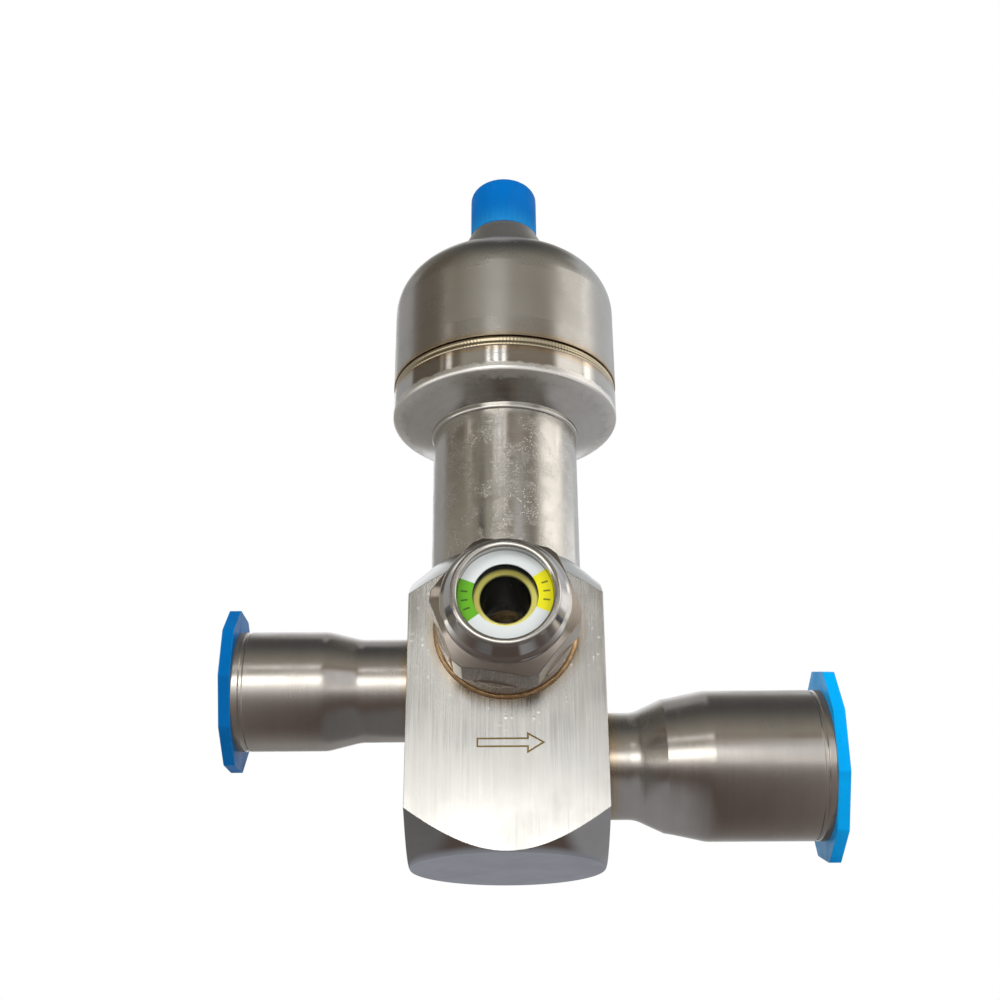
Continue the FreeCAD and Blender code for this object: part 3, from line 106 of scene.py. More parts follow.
class ValveSteelSettings(bpy.types.PropertyGroup):
    """Colours and finish of the steel pieces."""
    body: tint("Body", "Brushed bar steel", (0.61, 0.605, 0.595))
    pipes: tint("Pipes", "Drawn stub pipes", (0.58, 0.55, 0.52))
    column: tint("Column", "Column tube", (0.60, 0.58, 0.55))
    housing: tint("Housing", "Polished motor housing", (0.62, 0.60, 0.575))
    can: tint("Can", "Satin motor can", (0.56, 0.545, 0.52))
    fitting: tint("Fitting", "Sight glass fitting", (0.58, 0.56, 0.54))
    inner: tint("Inner steel", "Machined pieces inside", (0.55, 0.55, 0.56))
    body_roughness: share("Body roughness", "Brushed faces of the body", 0.17)
    pipe_roughness: share("Pipe roughness", "Stub pipes", 0.20)
    column_roughness: share("Column roughness", "Column tube", 0.15)
    band_roughness: share("Band roughness", "Polished band", 0.035)
    can_roughness: share("Can roughness", "Motor can", 0.24)
    heat_reach: length("Heat tint", "Reach of the heat tint round a joint", 2.4)


class ValvePlasticSettings(bpy.types.PropertyGroup):
    """Colours of the blue plugs and the cap."""
    inlet_plug: tint("Inlet plug", "Left transport plug", from_screen(0, 95, 160))
    outlet_plug: tint("Outlet plug", "Right transport plug", from_screen(0, 156, 226))
    cap: tint("Cap", "Cap over the connector", from_screen(0, 98, 172))
    roughness: share("Roughness", "Soft moulded plastic", 0.34)


class ValveDialSettings(bpy.types.PropertyGroup):
    """Print on the ring behind the sight glass rim."""
    white: tint("Ground", "Printed ring", from_screen(208, 213, 212))
    green: tint("Dry sector", "Left sector", from_screen(88, 158, 12))
    yellow: tint("Wet sector", "Right sector", from_screen(222, 214, 0))
    element: tint("Element", "Moisture element", from_screen(222, 210, 108))
    tick: length("Tick", "Width of the plain ticks in the sectors", 0.28)


class ValveDetailSettings(bpy.types.PropertyGroup):
    """Fine shapes that are added to the turned pieces."""
    thread_pitch: length("Thread pitch", "Connector thread", 1.0)
    thread_depth: length("Thread depth", "Connector thread", 0.42)
    cap_bend: length("Cap rounding", "Rounding of the cap's upper edge", 2.9)
    ripple: length("Weld ripple", "Height of the ripples on the weld", 0.05)
    ripple_count: bpy.props.IntProperty(name="Weld ripples", description="Ripples round the weld",
                                        default=210, min=20, max=600)
    braze: length("Braze fillet", "Fillet of braze round a pipe", 0.75)
    arrow_line: length("Arrow line", "Width of the marked flow arrow's line", 0.34)
    arrow_lift: length("Arrow lift", "How far the mark stands off the body", 0.012)


class ValveStageSettings(bpy.types.PropertyGroup):
    """Floor, light and camera."""
    floor: tint("Floor", "Pale floor", (0.82, 0.82, 0.82))
    lens: bpy.props.FloatProperty(name="Lens", description="Focal length in millimetres",
                                  default=48.09, min=10, max=300)
    camera: bpy.props.FloatVectorProperty(name="Camera", description="Place of the camera",
                                          default=(0.00079, -0.27731, -0.04616), size=3,
                                          subtype="TRANSLATION", unit="LENGTH")
    yaw: turning("Yaw", "Turn of the camera to its left", 0.0073)
    pitch: turning("Pitch", "How far the camera looks up", 0.4351)
    roll: turning("Roll", "Tilt of the camera", -0.0045)


class Nodes:
    """Adds nodes to a tree. A value that is a socket is linked, any other is set."""

    def __init__(self, tree):
        self.tree = tree

    def put(self, socket, value):
        if isinstance(value, bpy.types.NodeSocket):
            self.tree.links.new(value, socket)
        elif value is not None:
            if socket.type == "RGBA" and len(value) == 3:
                value = (*value, 1.0)
            socket.default_value = value

    def add(self, kind, values=None, **settings):
        node = self.tree.nodes.new("ShaderNode" + kind)
        for name, setting in settings.items():
            setattr(node, name, setting)
        for name, value in (values or {}).items():
            self.put(node.inputs[name], value)
        return node

    def math(self, operation, a, b=None, c=None, clamp=False):
        node = self.add("Math", {0: a, 1: b, 2: c}, operation=operation, use_clamp=clamp)
        return node.outputs[0]

    def times(self, value, *factors):
        for factor in factors:
            value = self.math("MULTIPLY", value, factor)
        return value

    def plus(self, value, *others):
        for other in others:
            value = self.math("ADD", value, other)
        return value

    def minus(self, a, b):
        return self.math("SUBTRACT", a, b)

    def size(self, value):
        """The value without its sign."""
        return self.math("ABSOLUTE", value)

    def reach(self, a, b):
        """The length of (a, b)."""
        return self.math("SQRT", self.plus(self.times(a, a), self.times(b, b)))

    def off(self, degrees, middle):
        """The turn from a middle direction, from -180 to 180 degrees."""
        return self.math("WRAP", self.minus(degrees, middle), 180.0, -180.0)

    def vector(self, operation, a, b, output=0):
        return self.add("VectorMath", {0: a, 1: b}, operation=operation).outputs[output]

    def scaled(self, vector, factors):
        return self.vector("MULTIPLY", vector, factors)

    def distance(self, vector, place=ORIGIN):
        return self.vector("DISTANCE", vector, place, "Value")

    def split(self, vector):
        return self.add("SeparateXYZ", {0: vector}).outputs

    def join(self, x, y, z):
        return self.add("CombineXYZ", {0: x, 1: y, 2: z}).outputs[0]

    def ease(self, value, low, high, start=0.0, end=1.0):
        """Goes smoothly from start to end while value goes from low to high."""
        return self.add("MapRange", {"Value": value, "From Min": low, "From Max": high,
                                     "To Min": start, "To Max": end},
                        interpolation_type="SMOOTHSTEP").outputs["Result"]

    def spread(self, value, start, end):
        """Takes a value from 0 to 1 to the range from start to end."""
        return self.add("MapRange", {"Value": value, "To Min": start, "To Max": end}).outputs[0]

    def noise(self, vector, scale, detail=2.0, roughness=0.5):
        return self.add("TexNoise", {"Vector": vector, "Scale": scale, "Detail": detail,
                                     "Roughness": roughness}).outputs["Fac"]

    def blend(self, factor, a, b, how="MIX"):
        return self.add("Mix", {0: factor, 6: a, 7: b}, data_type="RGBA", blend_type=how).outputs[2]

    def between(self, factor, a, b):
        return self.add("Mix", {0: factor, 2: a, 3: b}, data_type="FLOAT").outputs[0]

    def fall(self, value, low, high):
        """Goes smoothly from 1 to 0 while value goes from low to high."""
        return self.ease(value, low, high, 1.0, 0.0)

    def shade(self, colour, tone):
        """A colour times a tone."""
        return self.blend(1.0, colour, self.join(tone, tone, tone), "MULTIPLY")

    def mix(self, factor, first, second):
        """A mix of two shader nodes."""
        return self.add("MixShader", {0: factor, 1: first.outputs[0], 2: second.outputs[0]})

    def mirrored(self, path):
        """1 for what is seen in steel or through glass."""
        return self.math("ADD", path["Is Glossy Ray"], path["Is Transmission Ray"], clamp=True)

    def place(self):
        """Place on the object in millimetres."""
        return self.scaled(self.add("TexCoord").outputs["Object"], (1000, 1000, 1000))

    def effect(self, group, values=None):
        node = self.add("Group", node_tree=group)
        for name, value in (values or {}).items():
            self.put(node.inputs[name], value)
        return node.outputs


SOCKETS = {"Vector": "NodeSocketVector", "Normal": "NodeSocketVector", "Tint": "NodeSocketColor"}


def shared(name, inputs, *outputs):
    """Turns a function that fills a tree into one that gives the shader node group, made once.

    The inputs come with their defaults. SOCKETS names the kinds that aren't plain values."""
    def decorated(build):
        def group():
            tree = bpy.data.node_groups.get(name)
            if tree:
                return tree
            tree = bpy.data.node_groups.new(name, "ShaderNodeTree")
            for title in (*inputs, *outputs):
                way = "INPUT" if title in inputs else "OUTPUT"
                kind = SOCKETS.get(title, "NodeSocketFloat")
                socket = tree.interface.new_socket(title, in_out=way, socket_type=kind)
                if inputs.get(title) is not None:
                    socket.default_value = inputs[title]
            source, goal = tree.nodes.new("NodeGroupInput"), tree.nodes.new("NodeGroupOutput")
            for title, result in build(Nodes(tree), source.outputs).items():
                tree.links.new(result, goal.inputs[title])
            return tree
        return group
    return decorated


@shared("Turned Lines", {"Along": 0.0, "Radius": 0.0, "Turn": 0.0, "Lines per mm": 5.0},
        "Lines", "Drift")
def turned_lines(n, given):
    """Fine rings that a lathe leaves, on round faces and flat ends alike."""
    along, radius, fineness = given["Along"], given["Radius"], given["Lines per mm"]
    spread = n.times(given["Turn"], 1.6)
    fine = n.join(n.times(along, fineness), n.times(radius, fineness), spread)
    coarse = n.join(n.times(along, 0.9), n.times(radius, 0.9), n.times(spread, 0.6))
    lines = n.plus(n.times(n.noise(fine, 1.0, 3.0, 0.6), 0.7),
                   n.times(n.noise(coarse, 2.3, 1.0), 0.3))
    return {"Lines": n.ease(lines, 0.3, 0.7), "Drift": n.noise(coarse, 0.35, 2.0)}


@shared("Brushed Lines", {"Vector": None, "Lines per mm": 4.0}, "Lines", "Drift")
def brushed_lines(n, given):
    """Straight scratches along Z, as from an abrasive belt."""
    fine = n.noise(n.scaled(given["Vector"], (1.0, 1.0, 0.018)), given["Lines per mm"], 4.0, 0.65)
    broad = n.noise(n.scaled(given["Vector"], (0.9, 0.9, 0.035)), 1.0, 2.0)
    return {"Lines": n.ease(fine, 0.32, 0.68), "Drift": n.ease(broad, 0.3, 0.7)}


@shared("Sparkle", {"Vector": None, "Grains per mm": 3.0, "Share": 0.3},
        "Mask", "Patches", "Height")
def sparkle(n, given):
    """Small bright grains, as on blasted or etched steel."""
    place, grains = given["Vector"], given["Grains per mm"]
    cells = n.add("TexVoronoi", {"Vector": place, "Scale": grains}).outputs
    dot = n.fall(cells["Distance"], 0.10, 0.42)
    pick = n.math("GREATER_THAN", n.split(cells["Color"])[0], n.minus(1.0, given["Share"]))
    patches = n.ease(n.noise(place, 0.22, 2.0), 0.40, 0.62)
    mask = n.times(dot, pick, patches)
    level = n.times(n.minus(n.noise(place, grains, 3.0, 0.7), 0.5), 0.5)
    return {"Mask": mask, "Patches": patches, "Height": n.plus(n.times(level, patches), mask)}


@shared("Smears", {"Vector": None, "Scale": 0.12}, "Smear")
def smears(n, given):
    """Cloudy handling marks."""
    return {"Smear": n.ease(n.noise(given["Vector"], given["Scale"], 3.0, 0.55), 0.35, 0.70)}


@shared("Heat Tint", {"Vector": None, "Distance": 0.0, "Reach": 3.0}, "Tint", "Mask")
def heat_tint(n, given):
    """Oxide colours that fade with the distance from a hot joint."""
    uneven = n.plus(given["Distance"], n.spread(n.noise(given["Vector"], 0.5, 3.0), -0.9, 0.9))
    part = n.math("DIVIDE", uneven, given["Reach"], clamp=True)
    colours = n.add("ValToRGB", {"Fac": part})
    stops = colours.color_ramp.elements
    stops[0].position, stops[0].color = 0.0, (0.45, 0.33, 0.30, 1)
    stops[1].position, stops[1].color = 1.0, (1.0, 1.0, 1.0, 1)
    for at, colour in ((0.22, (0.78, 0.52, 0.26, 1)), (0.45, (0.98, 0.80, 0.52, 1)),
                       (0.72, (0.98, 0.90, 0.84, 1))):
        stops.new(at).color = colour
    return {"Tint": colours.outputs["Color"], "Mask": n.minus(1.0, part)}


@shared("Soft Edges", {"Radius": 0.0002}, "Normal", "Wear and highlight")
def soft_edges(n, given):
    """Edges that catch the light as if they were broken with a file; the mask lightens steel edges
    as filed wear and plastic edges as a painted highlight.
    """
    rounded = n.add("Bevel", {"Radius": given["Radius"]}, samples=4).outputs[0]
    plain = n.add("NewGeometry").outputs["True Normal"]
    close = n.vector("DOT_PRODUCT", rounded, plain, "Value")
    return {"Normal": rounded, "Wear and highlight": n.fall(close, 0.90, 0.999)}


@shared("Moulded Skin", {"Vector": None}, "Height", "Tone")
def moulded_skin(n, given):
    """Faint orange peel and flow marks of a moulding."""
    peel = n.noise(given["Vector"], 1.8, 2.0)
    flow = n.noise(n.scaled(given["Vector"], (0.4, 0.4, 0.12)), 0.6, 2.0)
    return {"Height": n.plus(n.times(peel, 0.6), flow), "Tone": n.ease(flow, 0.3, 0.7)}


def smear_of(n, place, scale=0.12):
    return n.effect(smears(), {"Vector": place, "Scale": scale})["Smear"]


def emptied(owner):
    """The cleared nodes of a material or a world."""
    owner.use_nodes = True
    owner.node_tree.nodes.clear()
    return Nodes(owner.node_tree)


def start_material(name):
    """A new material, its nodes, its shader and the place on the object in millimetres."""
    material = bpy.data.materials.new(name)
    n = emptied(material)
    shader = n.add("BsdfPrincipled")
    n.add("OutputMaterial", {0: shader.outputs[0]})
    return material, n, shader, n.place()


def coat(n, shader, colour, roughness, metallic=0.0, height=None, distance=0.0001, strength=1.0,
         normal=None):
    """Sets what most materials set. The distance is how far a height of 1 stands out, in metres."""
    n.put(shader.inputs["Base Color"], colour)
    n.put(shader.inputs["Roughness"], roughness)
    n.put(shader.inputs["Metallic"], metallic)
    if height is not None:
        bump = n.add("Bump", {"Height": height, "Normal": normal, "Distance": distance,
                              "Strength": strength})
        n.put(shader.inputs["Normal"], bump.outputs[0])


def at_level(colour, level):
    """A colour times a level."""
    return tuple(part * level for part in colour)


def round_about(n, place, axis=UP, centre=ORIGIN):
    """Distance along an axis, distance from it and the turn round it, in mm and turns."""
    x, y, z = n.split(n.vector("SUBTRACT", place, centre))
    along, across, up = {ALONG_X: (x, y, z), ALONG_Y: (y, x, z), UP: (z, x, y)}[axis]
    return along, n.reach(across, up), n.math("DIVIDE", n.math("ARCTAN2", up, across), math.tau)


def rings_about(n, place, lines, axis=UP, centre=ORIGIN):
    """What round_about gives, and the lines of a lathe."""
    along, radius, turn = round_about(n, place, axis, centre)
    return along, radius, turn, n.effect(turned_lines(), {"Along": along, "Radius": radius,
                                                          "Turn": turn, "Lines per mm": lines})


def turned_metal(name, colour, roughness, lines=5.0, depth=0.35, contrast=0.10, axis=UP,
                 centre=ORIGIN, grain=None, hot=None, edge=0.16, rough_span=0.10, extra=None):
    """Lathe-turned or drawn metal about an axis.

    grain is (grains per mm, share, height); hot gives the distance from a joint and its reach;
    extra gives a new colour, roughness and height."""
    material, n, shader, place = start_material(name)
    along, radius, turn, rings = rings_about(n, place, lines, axis, centre)
    smear = smear_of(n, place)
    edges = n.effect(soft_edges(), {"Radius": edge * MM})
    tone = n.times(n.spread(rings["Lines"], 1 - contrast, 1.0),
                   n.spread(rings["Drift"], 0.94, 1.06), n.spread(smear, 1.0, 0.93))
    base = n.shade(colour, n.plus(tone, n.times(edges["Wear and highlight"], 0.12)))
    rough = n.plus(n.spread(rings["Lines"], roughness - rough_span / 2,
                            roughness + rough_span / 2), n.spread(smear, 0.0, 0.07))
    height = rings["Lines"]
    if grain:
        glitter = n.effect(sparkle(), {"Vector": place, "Grains per mm": grain[0],
                                       "Share": grain[1]})
        base = n.blend(n.times(glitter["Mask"], 0.7), base, GLINT)
        rough = n.plus(rough, n.times(glitter["Patches"], 0.08))
        height = n.plus(n.times(height, 0.3), n.times(glitter["Height"], grain[2]))
    if hot:
        distance, reach = hot(n, along)
        warm = n.effect(heat_tint(), {"Vector": place, "Distance": distance, "Reach": reach})
        base = n.blend(0.6, base, warm["Tint"], "MULTIPLY")
        rough = n.plus(rough, n.times(warm["Mask"], 0.05))
    if extra:
        base, rough, height = extra(n, place, along, radius, turn, base, rough, height)
    coat(n, shader, base, rough, 1.0, height, 0.00002, depth, edges["Normal"])
    return material


def body_steel(settings):
    """Brushed bar with turned ends, heat tint round the joints and specks of spatter."""
    material, n, shader, place = start_material("brushed_body_steel")
    x, y, z = n.split(place)
    facing = n.split(n.add("NewGeometry").outputs["Normal"])
    ends = n.ease(n.size(facing[2]), 0.15, 0.4)
    rings = rings_about(n, place, 3.5)[3]
    belt = n.effect(brushed_lines(), {"Vector": place, "Lines per mm": 3.2})
    lines = n.between(ends, belt["Lines"], rings["Lines"])
    drift = n.between(ends, belt["Drift"], rings["Drift"])
    smear = smear_of(n, place, 0.09)
    edges = n.effect(soft_edges(), {"Radius": 0.25 * MM})
    tone = n.times(n.spread(lines, 0.96, 1.01), n.spread(drift, 0.97, 1.02),
                   n.spread(smear, 1.0, 0.93))
    base = n.shade(settings.body, n.plus(tone, n.times(edges["Wear and highlight"], 0.15)))
    behind_face, on_face, too_far = 19.0, 19.9, 40.0
    front = n.distance(n.join(x, 0.0, n.minus(z, SIGHT_HEIGHT)))
    nearest = from_sight = n.plus(n.minus(front, SIGHT_BASE),
                                  n.ease(y, -on_face, -behind_face, 0.0, too_far))
    for side, height, tube in ((-1, INLET_HEIGHT, INLET_TUBE), (1, OUTLET_HEIGHT, OUTLET_TUBE)):
        away = n.minus(n.distance(n.join(0.0, y, n.minus(z, height))), tube)
        away = n.plus(away, n.ease(n.times(x, side), behind_face, on_face, too_far, 0.0))
        nearest = n.math("MINIMUM", nearest, away)
    warm = n.effect(heat_tint(), {"Vector": place, "Distance": nearest,
                                  "Reach": settings.heat_reach / MM * 1.1})
    base = n.blend(0.45, base, warm["Tint"], "MULTIPLY")
    specks = n.effect(sparkle(), {"Vector": place, "Grains per mm": 0.9, "Share": 0.30})
    near = n.fall(from_sight, 0.5, 9.0)
    dust = n.times(specks["Mask"], near)
    base = n.blend(n.times(dust, 0.8), base, (0.93, 0.92, 0.90))
    rough = n.plus(n.spread(lines, settings.body_roughness - 0.04, settings.body_roughness + 0.05),
                   n.spread(smear, -0.02, 0.06), n.times(near, 0.10))
    height = n.plus(n.times(lines, 0.6), n.times(dust, 6.0))
    coat(n, shader, base, rough, 1.0, height, 0.00003, 0.10, edges["Normal"])
    return material


def plastic(name, colour, roughness):
    """Moulded plastic with a soft sheen, which the steel mirrors as a dull grey."""
    material, n, shader, place = start_material(name)
    skin = n.effect(moulded_skin(), {"Vector": place})
    smear = smear_of(n, place, 0.16)
    edges = n.effect(soft_edges(), {"Radius": 0.3 * MM})
    base = n.shade(colour, n.times(n.spread(skin["Tone"], 0.93, 1.05), n.spread(smear, 1.0, 0.95)))
    # painted highlight: the plastic's edges are lightened to a paler blue
    base = n.blend(n.times(edges["Wear and highlight"], 0.30), base, PLASTIC_EDGE_HIGHLIGHT)
    mirrored = n.times(n.add("LightPath").outputs["Is Glossy Ray"], 0.92)
    base = n.blend(mirrored, base, PLASTIC_MIRRORED)
    coat(n, shader, base, n.spread(smear, roughness - 0.04, roughness + 0.10), 0.0,
         skin["Height"], 0.0002, 0.25, edges["Normal"])
    shader.inputs["Specular IOR Level"].default_value = 0.05
    return material


def dress(material, *names):
    """Gives CAD nodes their material."""
    for name in names:
        for slot in NODES[name].material_slots:
            slot.material = material


def placed(name, data):
    """A new object in the scene."""
    thing = bpy.data.objects.new(name, data)
    bpy.context.scene.collection.objects.link(thing)
    return thing


def new_piece(name, mesh, material, body="valve", smooth=True):
    """A finished mesh as a piece that rides on a body."""
    piece = placed(name, mesh)
    mesh.materials.append(material)
    for polygon in mesh.polygons:
        polygon.use_smooth = smooth
    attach(piece, body)
    return piece


def finished(mesh, name):
    """A bmesh with its faces turned outwards, as mesh data."""
    bmesh.ops.recalc_face_normals(mesh, faces=mesh.faces)
    data = bpy.data.meshes.new(name)
    mesh.to_mesh(data)
    mesh.free()
    return data


def lathe(name, profile, axis=UP, centre=ORIGIN, steps=160, shape=None):
    """A profile of (radius, along) points turned about an axis, in millimetres.

    It is closed, or starts and ends on the axis."""
    mesh = bmesh.new()
    rings = []
    for step in range(steps):
        angle = math.tau * step / steps
        ring = []
        for index, (radius, along) in enumerate(profile):
            if shape:
                radius, along = shape(radius, along, angle, index)
            across, up = radius * math.cos(angle), radius * math.sin(angle)
            spot = {ALONG_X: (along, across, up), ALONG_Y: (up, along, across),
                    UP: (across, up, along)}
            ring.append(mesh.verts.new((Vector(spot[axis]) + Vector(centre)) * MM))
        rings.append(ring)
    count = len(profile)
    sides = count - 1 if profile[0][0] == 0 else count
    for step in range(steps):
        here, there = rings[step], rings[(step + 1) % steps]
        for index in range(sides):
            following = (index + 1) % count
            mesh.faces.new((here[index], there[index], there[following], here[following]))
    bmesh.ops.remove_doubles(mesh, verts=mesh.verts, dist=1e-7)
    return finished(mesh, name)


# the floor's size and drop in metres, and the colours that the floor glows with in the steel: a
# painted reflection, with painted shadow close to the valve and painted bright light further out
FLOOR_HALF, FLOOR_DROP = 1.6, 0.00002
FLOOR_FRONT_SHADOW, FLOOR_FAR, FLOOR_BRIGHT_GLOW = (0.120, 0.092, 0.080), (1.08, 1.06, 1.03), (1.7, 1.66, 1.58)
FLOOR_BESIDE_SHADOW, FLOOR_NEARBY = (0.18, 0.175, 0.175), (0.34, 0.34, 0.35)
FLOOR_AGAIN_SHADE, FLOOR_DULL = (0.28, 0.27, 0.255), (0.74, 0.72, 0.68)
FLOOR_LEFT, FLOOR_RIGHT, FLOOR_FOOT = (0.33, 0.315, 0.30), (0.46, 0.46, 0.46), (0.31, 0.32, 0.36)

# the colours of the room; SKY_EVEN lights what isn't mirrored, BACKDROP is the azimuth of the wall
# behind the valve
SKY_LEVEL, SKY_TOP, SKY_EVEN = (0.395, 0.37, 0.315), (0.08, 0.08, 0.08), (0.42, 0.42, 0.42)
SKY_BEHIND, BACKDROP = (1.06, 1.08, 1.10), -174.0
WARM, CREAM, PALE = (1.0, 0.85, 0.66), (1.0, 0.96, 0.90), (1.0, 0.98, 0.92)
PLAIN, COOL = (1.0, 1.0, 1.0), (0.95, 0.98, 1.0)

# the panels that the steel mirrors: ((azimuth, elevation), (half width, half height), softness,
# strength, colour), in degrees; azimuth 0 is towards the camera, elevation 0 is level
PANELS = [
    ((-130, 28), (17, 12), 6, 0.42, PLAIN),
    ((-86, 46), (21, 18), 4, 0.14, WARM),
    ((-56, 40), (8, 12), 6, 0.21, WARM),
    ((25, 30), (24, 2), 4, 0.27, WARM),
    ((130, 30), (30, 20), 10, 0.66, COOL),
    ((10, 4), (30, 9.6), 5.7, 0.78, PLAIN),
    ((-13, 1), (16, 7.5), 6, 3.30, PALE),
    ((79, 17), (20, 14), 9, 1.25, CREAM),
    ((76, 20), (11, 5), 5, 1.75, CREAM),
    ((121, 16), (13, 6), 4, 1.30, PLAIN),
    ((93, 30), (4.5, 3), 2, 2.00, CREAM),
    ((88, 30), (0.6, 4), 0.8, 0.35, PLAIN),
    ((20, 20), (5, 3), 4, 0.80, PLAIN),
    ((-37, 20), (3.5, 4), 4, 0.06, PLAIN),
    ((40, 18), (3, 4), 3, 0.16, PLAIN),
    ((-16, 30), (1.1, 2.5), 0.9, 2.20, PLAIN),
    ((-8.5, 30), (1.4, 2.5), 0.9, 3.00, PLAIN),
    ((-0.5, 30), (1.1, 2.5), 0.9, 2.80, PLAIN),
    ((-58.5, 30), (2.0, 2.5), 1.5, 1.20, CREAM),
    ((-67, 30), (1.0, 2.5), 1.0, 0.45, WARM),
]

# (name, place, size, power); every lamp points at the valve's middle
LAMPS = [
    ("key", (-0.45, -0.65, 0.65), 0.5, 5.6),
    ("fill", (0.60, -0.55, 0.35), 0.6, 3.9),
    ("low", (0.05, -0.75, -0.25), 0.5, 2.5),
    ("rim", (0.15, 0.70, 0.55), 0.6, 4.0),
]
LAMP_AIM = Vector((0, 0, 0.08))


class VALVE_OT_stage(bpy.types.Operator):
    """Makes the floor, the studio light and the camera"""
    bl_idname = "valve.stage"
    bl_label = "Stage"

    def execute(self, context):
        settings = context.scene.valve_stage
        scene = context.scene
        scene.view_settings.view_transform = "Standard"
        self.floor(settings)
        self.world(scene)
        self.lamps()
        self.camera(settings, scene)
        return {"FINISHED"}

    def floor(self, settings):
        mesh = bpy.data.meshes.new("floor")
        corners = ((-1, -1), (1, -1), (1, 1), (-1, 1))
        mesh.from_pydata([(x * FLOOR_HALF, y * FLOOR_HALF, 0) for x, y in corners], [],
                         [(0, 1, 2, 3)])
        floor = placed("floor", mesh)
        floor.location.z = -FLOOR_DROP
        material = bpy.data.materials.new("pale_floor")
        n = emptied(material)
        place = n.add("TexCoord").outputs["Object"]
        path = n.add("LightPath").outputs
        speck = n.spread(n.noise(place, 900.0, 2.0), 0.985, 1.0)
        matt = n.add("BsdfDiffuse", {"Color": n.shade(settings.floor, speck)})
        white = n.add("Emission", {"Color": (1, 1, 1), "Strength": 1.0})
        far = n.ease(n.distance(place), 0.14, 0.45)
        seen = n.mix(n.times(path["Is Camera Ray"], far), matt, white)
        # painted reflection: steel and glass see the floor as this glowing colour, not as the lit
        # floor
        painted_reflection = n.add("Emission", {"Color": self.painted_floor_reflection(n, place, path), "Strength": 1.0})
        table = n.mix(n.mirrored(path), seen, painted_reflection)
        below = n.add("NewGeometry").outputs["Backfacing"]
        both = n.mix(below, table, n.add("BsdfTransparent"))
        n.add("OutputMaterial", {0: both.outputs[0]})
        mesh.materials.append(material)

    def painted_floor_reflection(self, n, place, path):
        """The floor as the steel sees it, a painted reflection: darker near the valve as painted
        shadow, brighter further out as painted light; the distances are in metres.
        """
        x, y, z = n.split(place)
        away = n.distance(n.scaled(place, (1, 1, 0)))
        # painted shadow: dark brown close to the valve in front, paler further out, then painted
        # bright light far out, brightest on the left; behind the valve a plain grey
        front = n.blend(n.ease(away, 0.030, 0.230), FLOOR_FRONT_SHADOW, FLOOR_FAR)
        bright = n.blend(n.ease(x, -0.04, 0.12), FLOOR_BRIGHT_GLOW, FLOOR_DULL)
        front = n.blend(n.ease(away, 0.20, 0.60), front, bright)
        back = n.blend(n.ease(x, -0.1, 0.1), FLOOR_LEFT, FLOOR_RIGHT)
        painted_reflection = n.blend(n.ease(y, -0.010, 0.030), front, back)
        # painted shadow: the floor is darker beside the foot, darkest on the left
        beside = n.times(n.ease(n.size(x), 0.0115, 0.0165), n.fall(away, 0.032, 0.046))
        painted_reflection = n.blend(beside, painted_reflection, n.blend(n.ease(x, -0.01, 0.01), FLOOR_BESIDE_SHADOW, FLOOR_NEARBY))
        painted_reflection = n.blend(n.fall(away, 0.0198, 0.0215), painted_reflection, FLOOR_FOOT)
        # painted shade: the floor is darker where the steel sees it after more than one mirroring
        return n.blend(n.ease(path["Glossy Depth"], 1.0, 2.0, 0.0, 0.85), painted_reflection, FLOOR_AGAIN_SHADE)

    def world(self, scene):
        scene.world = bpy.data.worlds.new("studio")
        n = emptied(scene.world)
        x, y, z = n.split(n.add("TexCoord").outputs["Generated"])
        azimuth = n.times(n.math("ARCTAN2", x, n.times(y, -1.0)), DEGREES)
        elevation = n.times(n.math("ARCSINE", z), DEGREES)
        sky = n.blend(n.ease(elevation, 25.0, 85.0), SKY_LEVEL, SKY_TOP)
        behind = n.fall(n.size(n.off(azimuth, BACKDROP)), 14.0, 26.0)
        sky = n.blend(n.times(behind, n.ease(elevation, 34.0, 62.0, 1.0, 0.3)), sky, SKY_BEHIND)
        for centre, half, soft, strength, colour in PANELS:
            sideways = n.size(n.off(azimuth, centre[0]))
            upward = n.size(n.minus(elevation, centre[1]))
            inside = n.times(n.fall(sideways, half[0], half[0] + soft),
                             n.fall(upward, half[1], half[1] + soft))
            sky = n.blend(inside, sky, at_level(colour, strength))
        path = n.add("LightPath").outputs
        seen = n.blend(path["Is Camera Ray"], n.blend(n.mirrored(path), SKY_EVEN, sky), (1, 1, 1))
        light = n.add("Background", {"Color": seen, "Strength": 1.0})
        n.add("OutputWorld", {0: light.outputs[0]})

    def lamps(self):
        for name, place, size, power in LAMPS:
            data = bpy.data.lights.new(name, "AREA")
            data.shape, data.size, data.energy = "DISK", size, power
            lamp = placed(name, data)
            lamp.location = place
            aim = LAMP_AIM - lamp.location
            lamp.rotation_mode = "QUATERNION"
            lamp.rotation_quaternion = aim.to_track_quat("-Z", "Y")
            lamp.visible_glossy = False
            lamp.visible_camera = False

    def camera(self, settings, scene):
        data = bpy.data.cameras.new("camera")
        data.lens = settings.lens
        data.sensor_width = 36
        data.clip_start, data.clip_end = 0.005, 20
        camera = placed("camera", data)
        turn = (Matrix.Rotation(settings.yaw, 4, "Z")
                @ Matrix.Rotation(math.pi / 2 + settings.pitch, 4, "X")
                @ Matrix.Rotation(settings.roll, 4, "Z"))
        camera.matrix_world = Matrix.Translation(settings.camera) @ turn
        scene.camera = camera


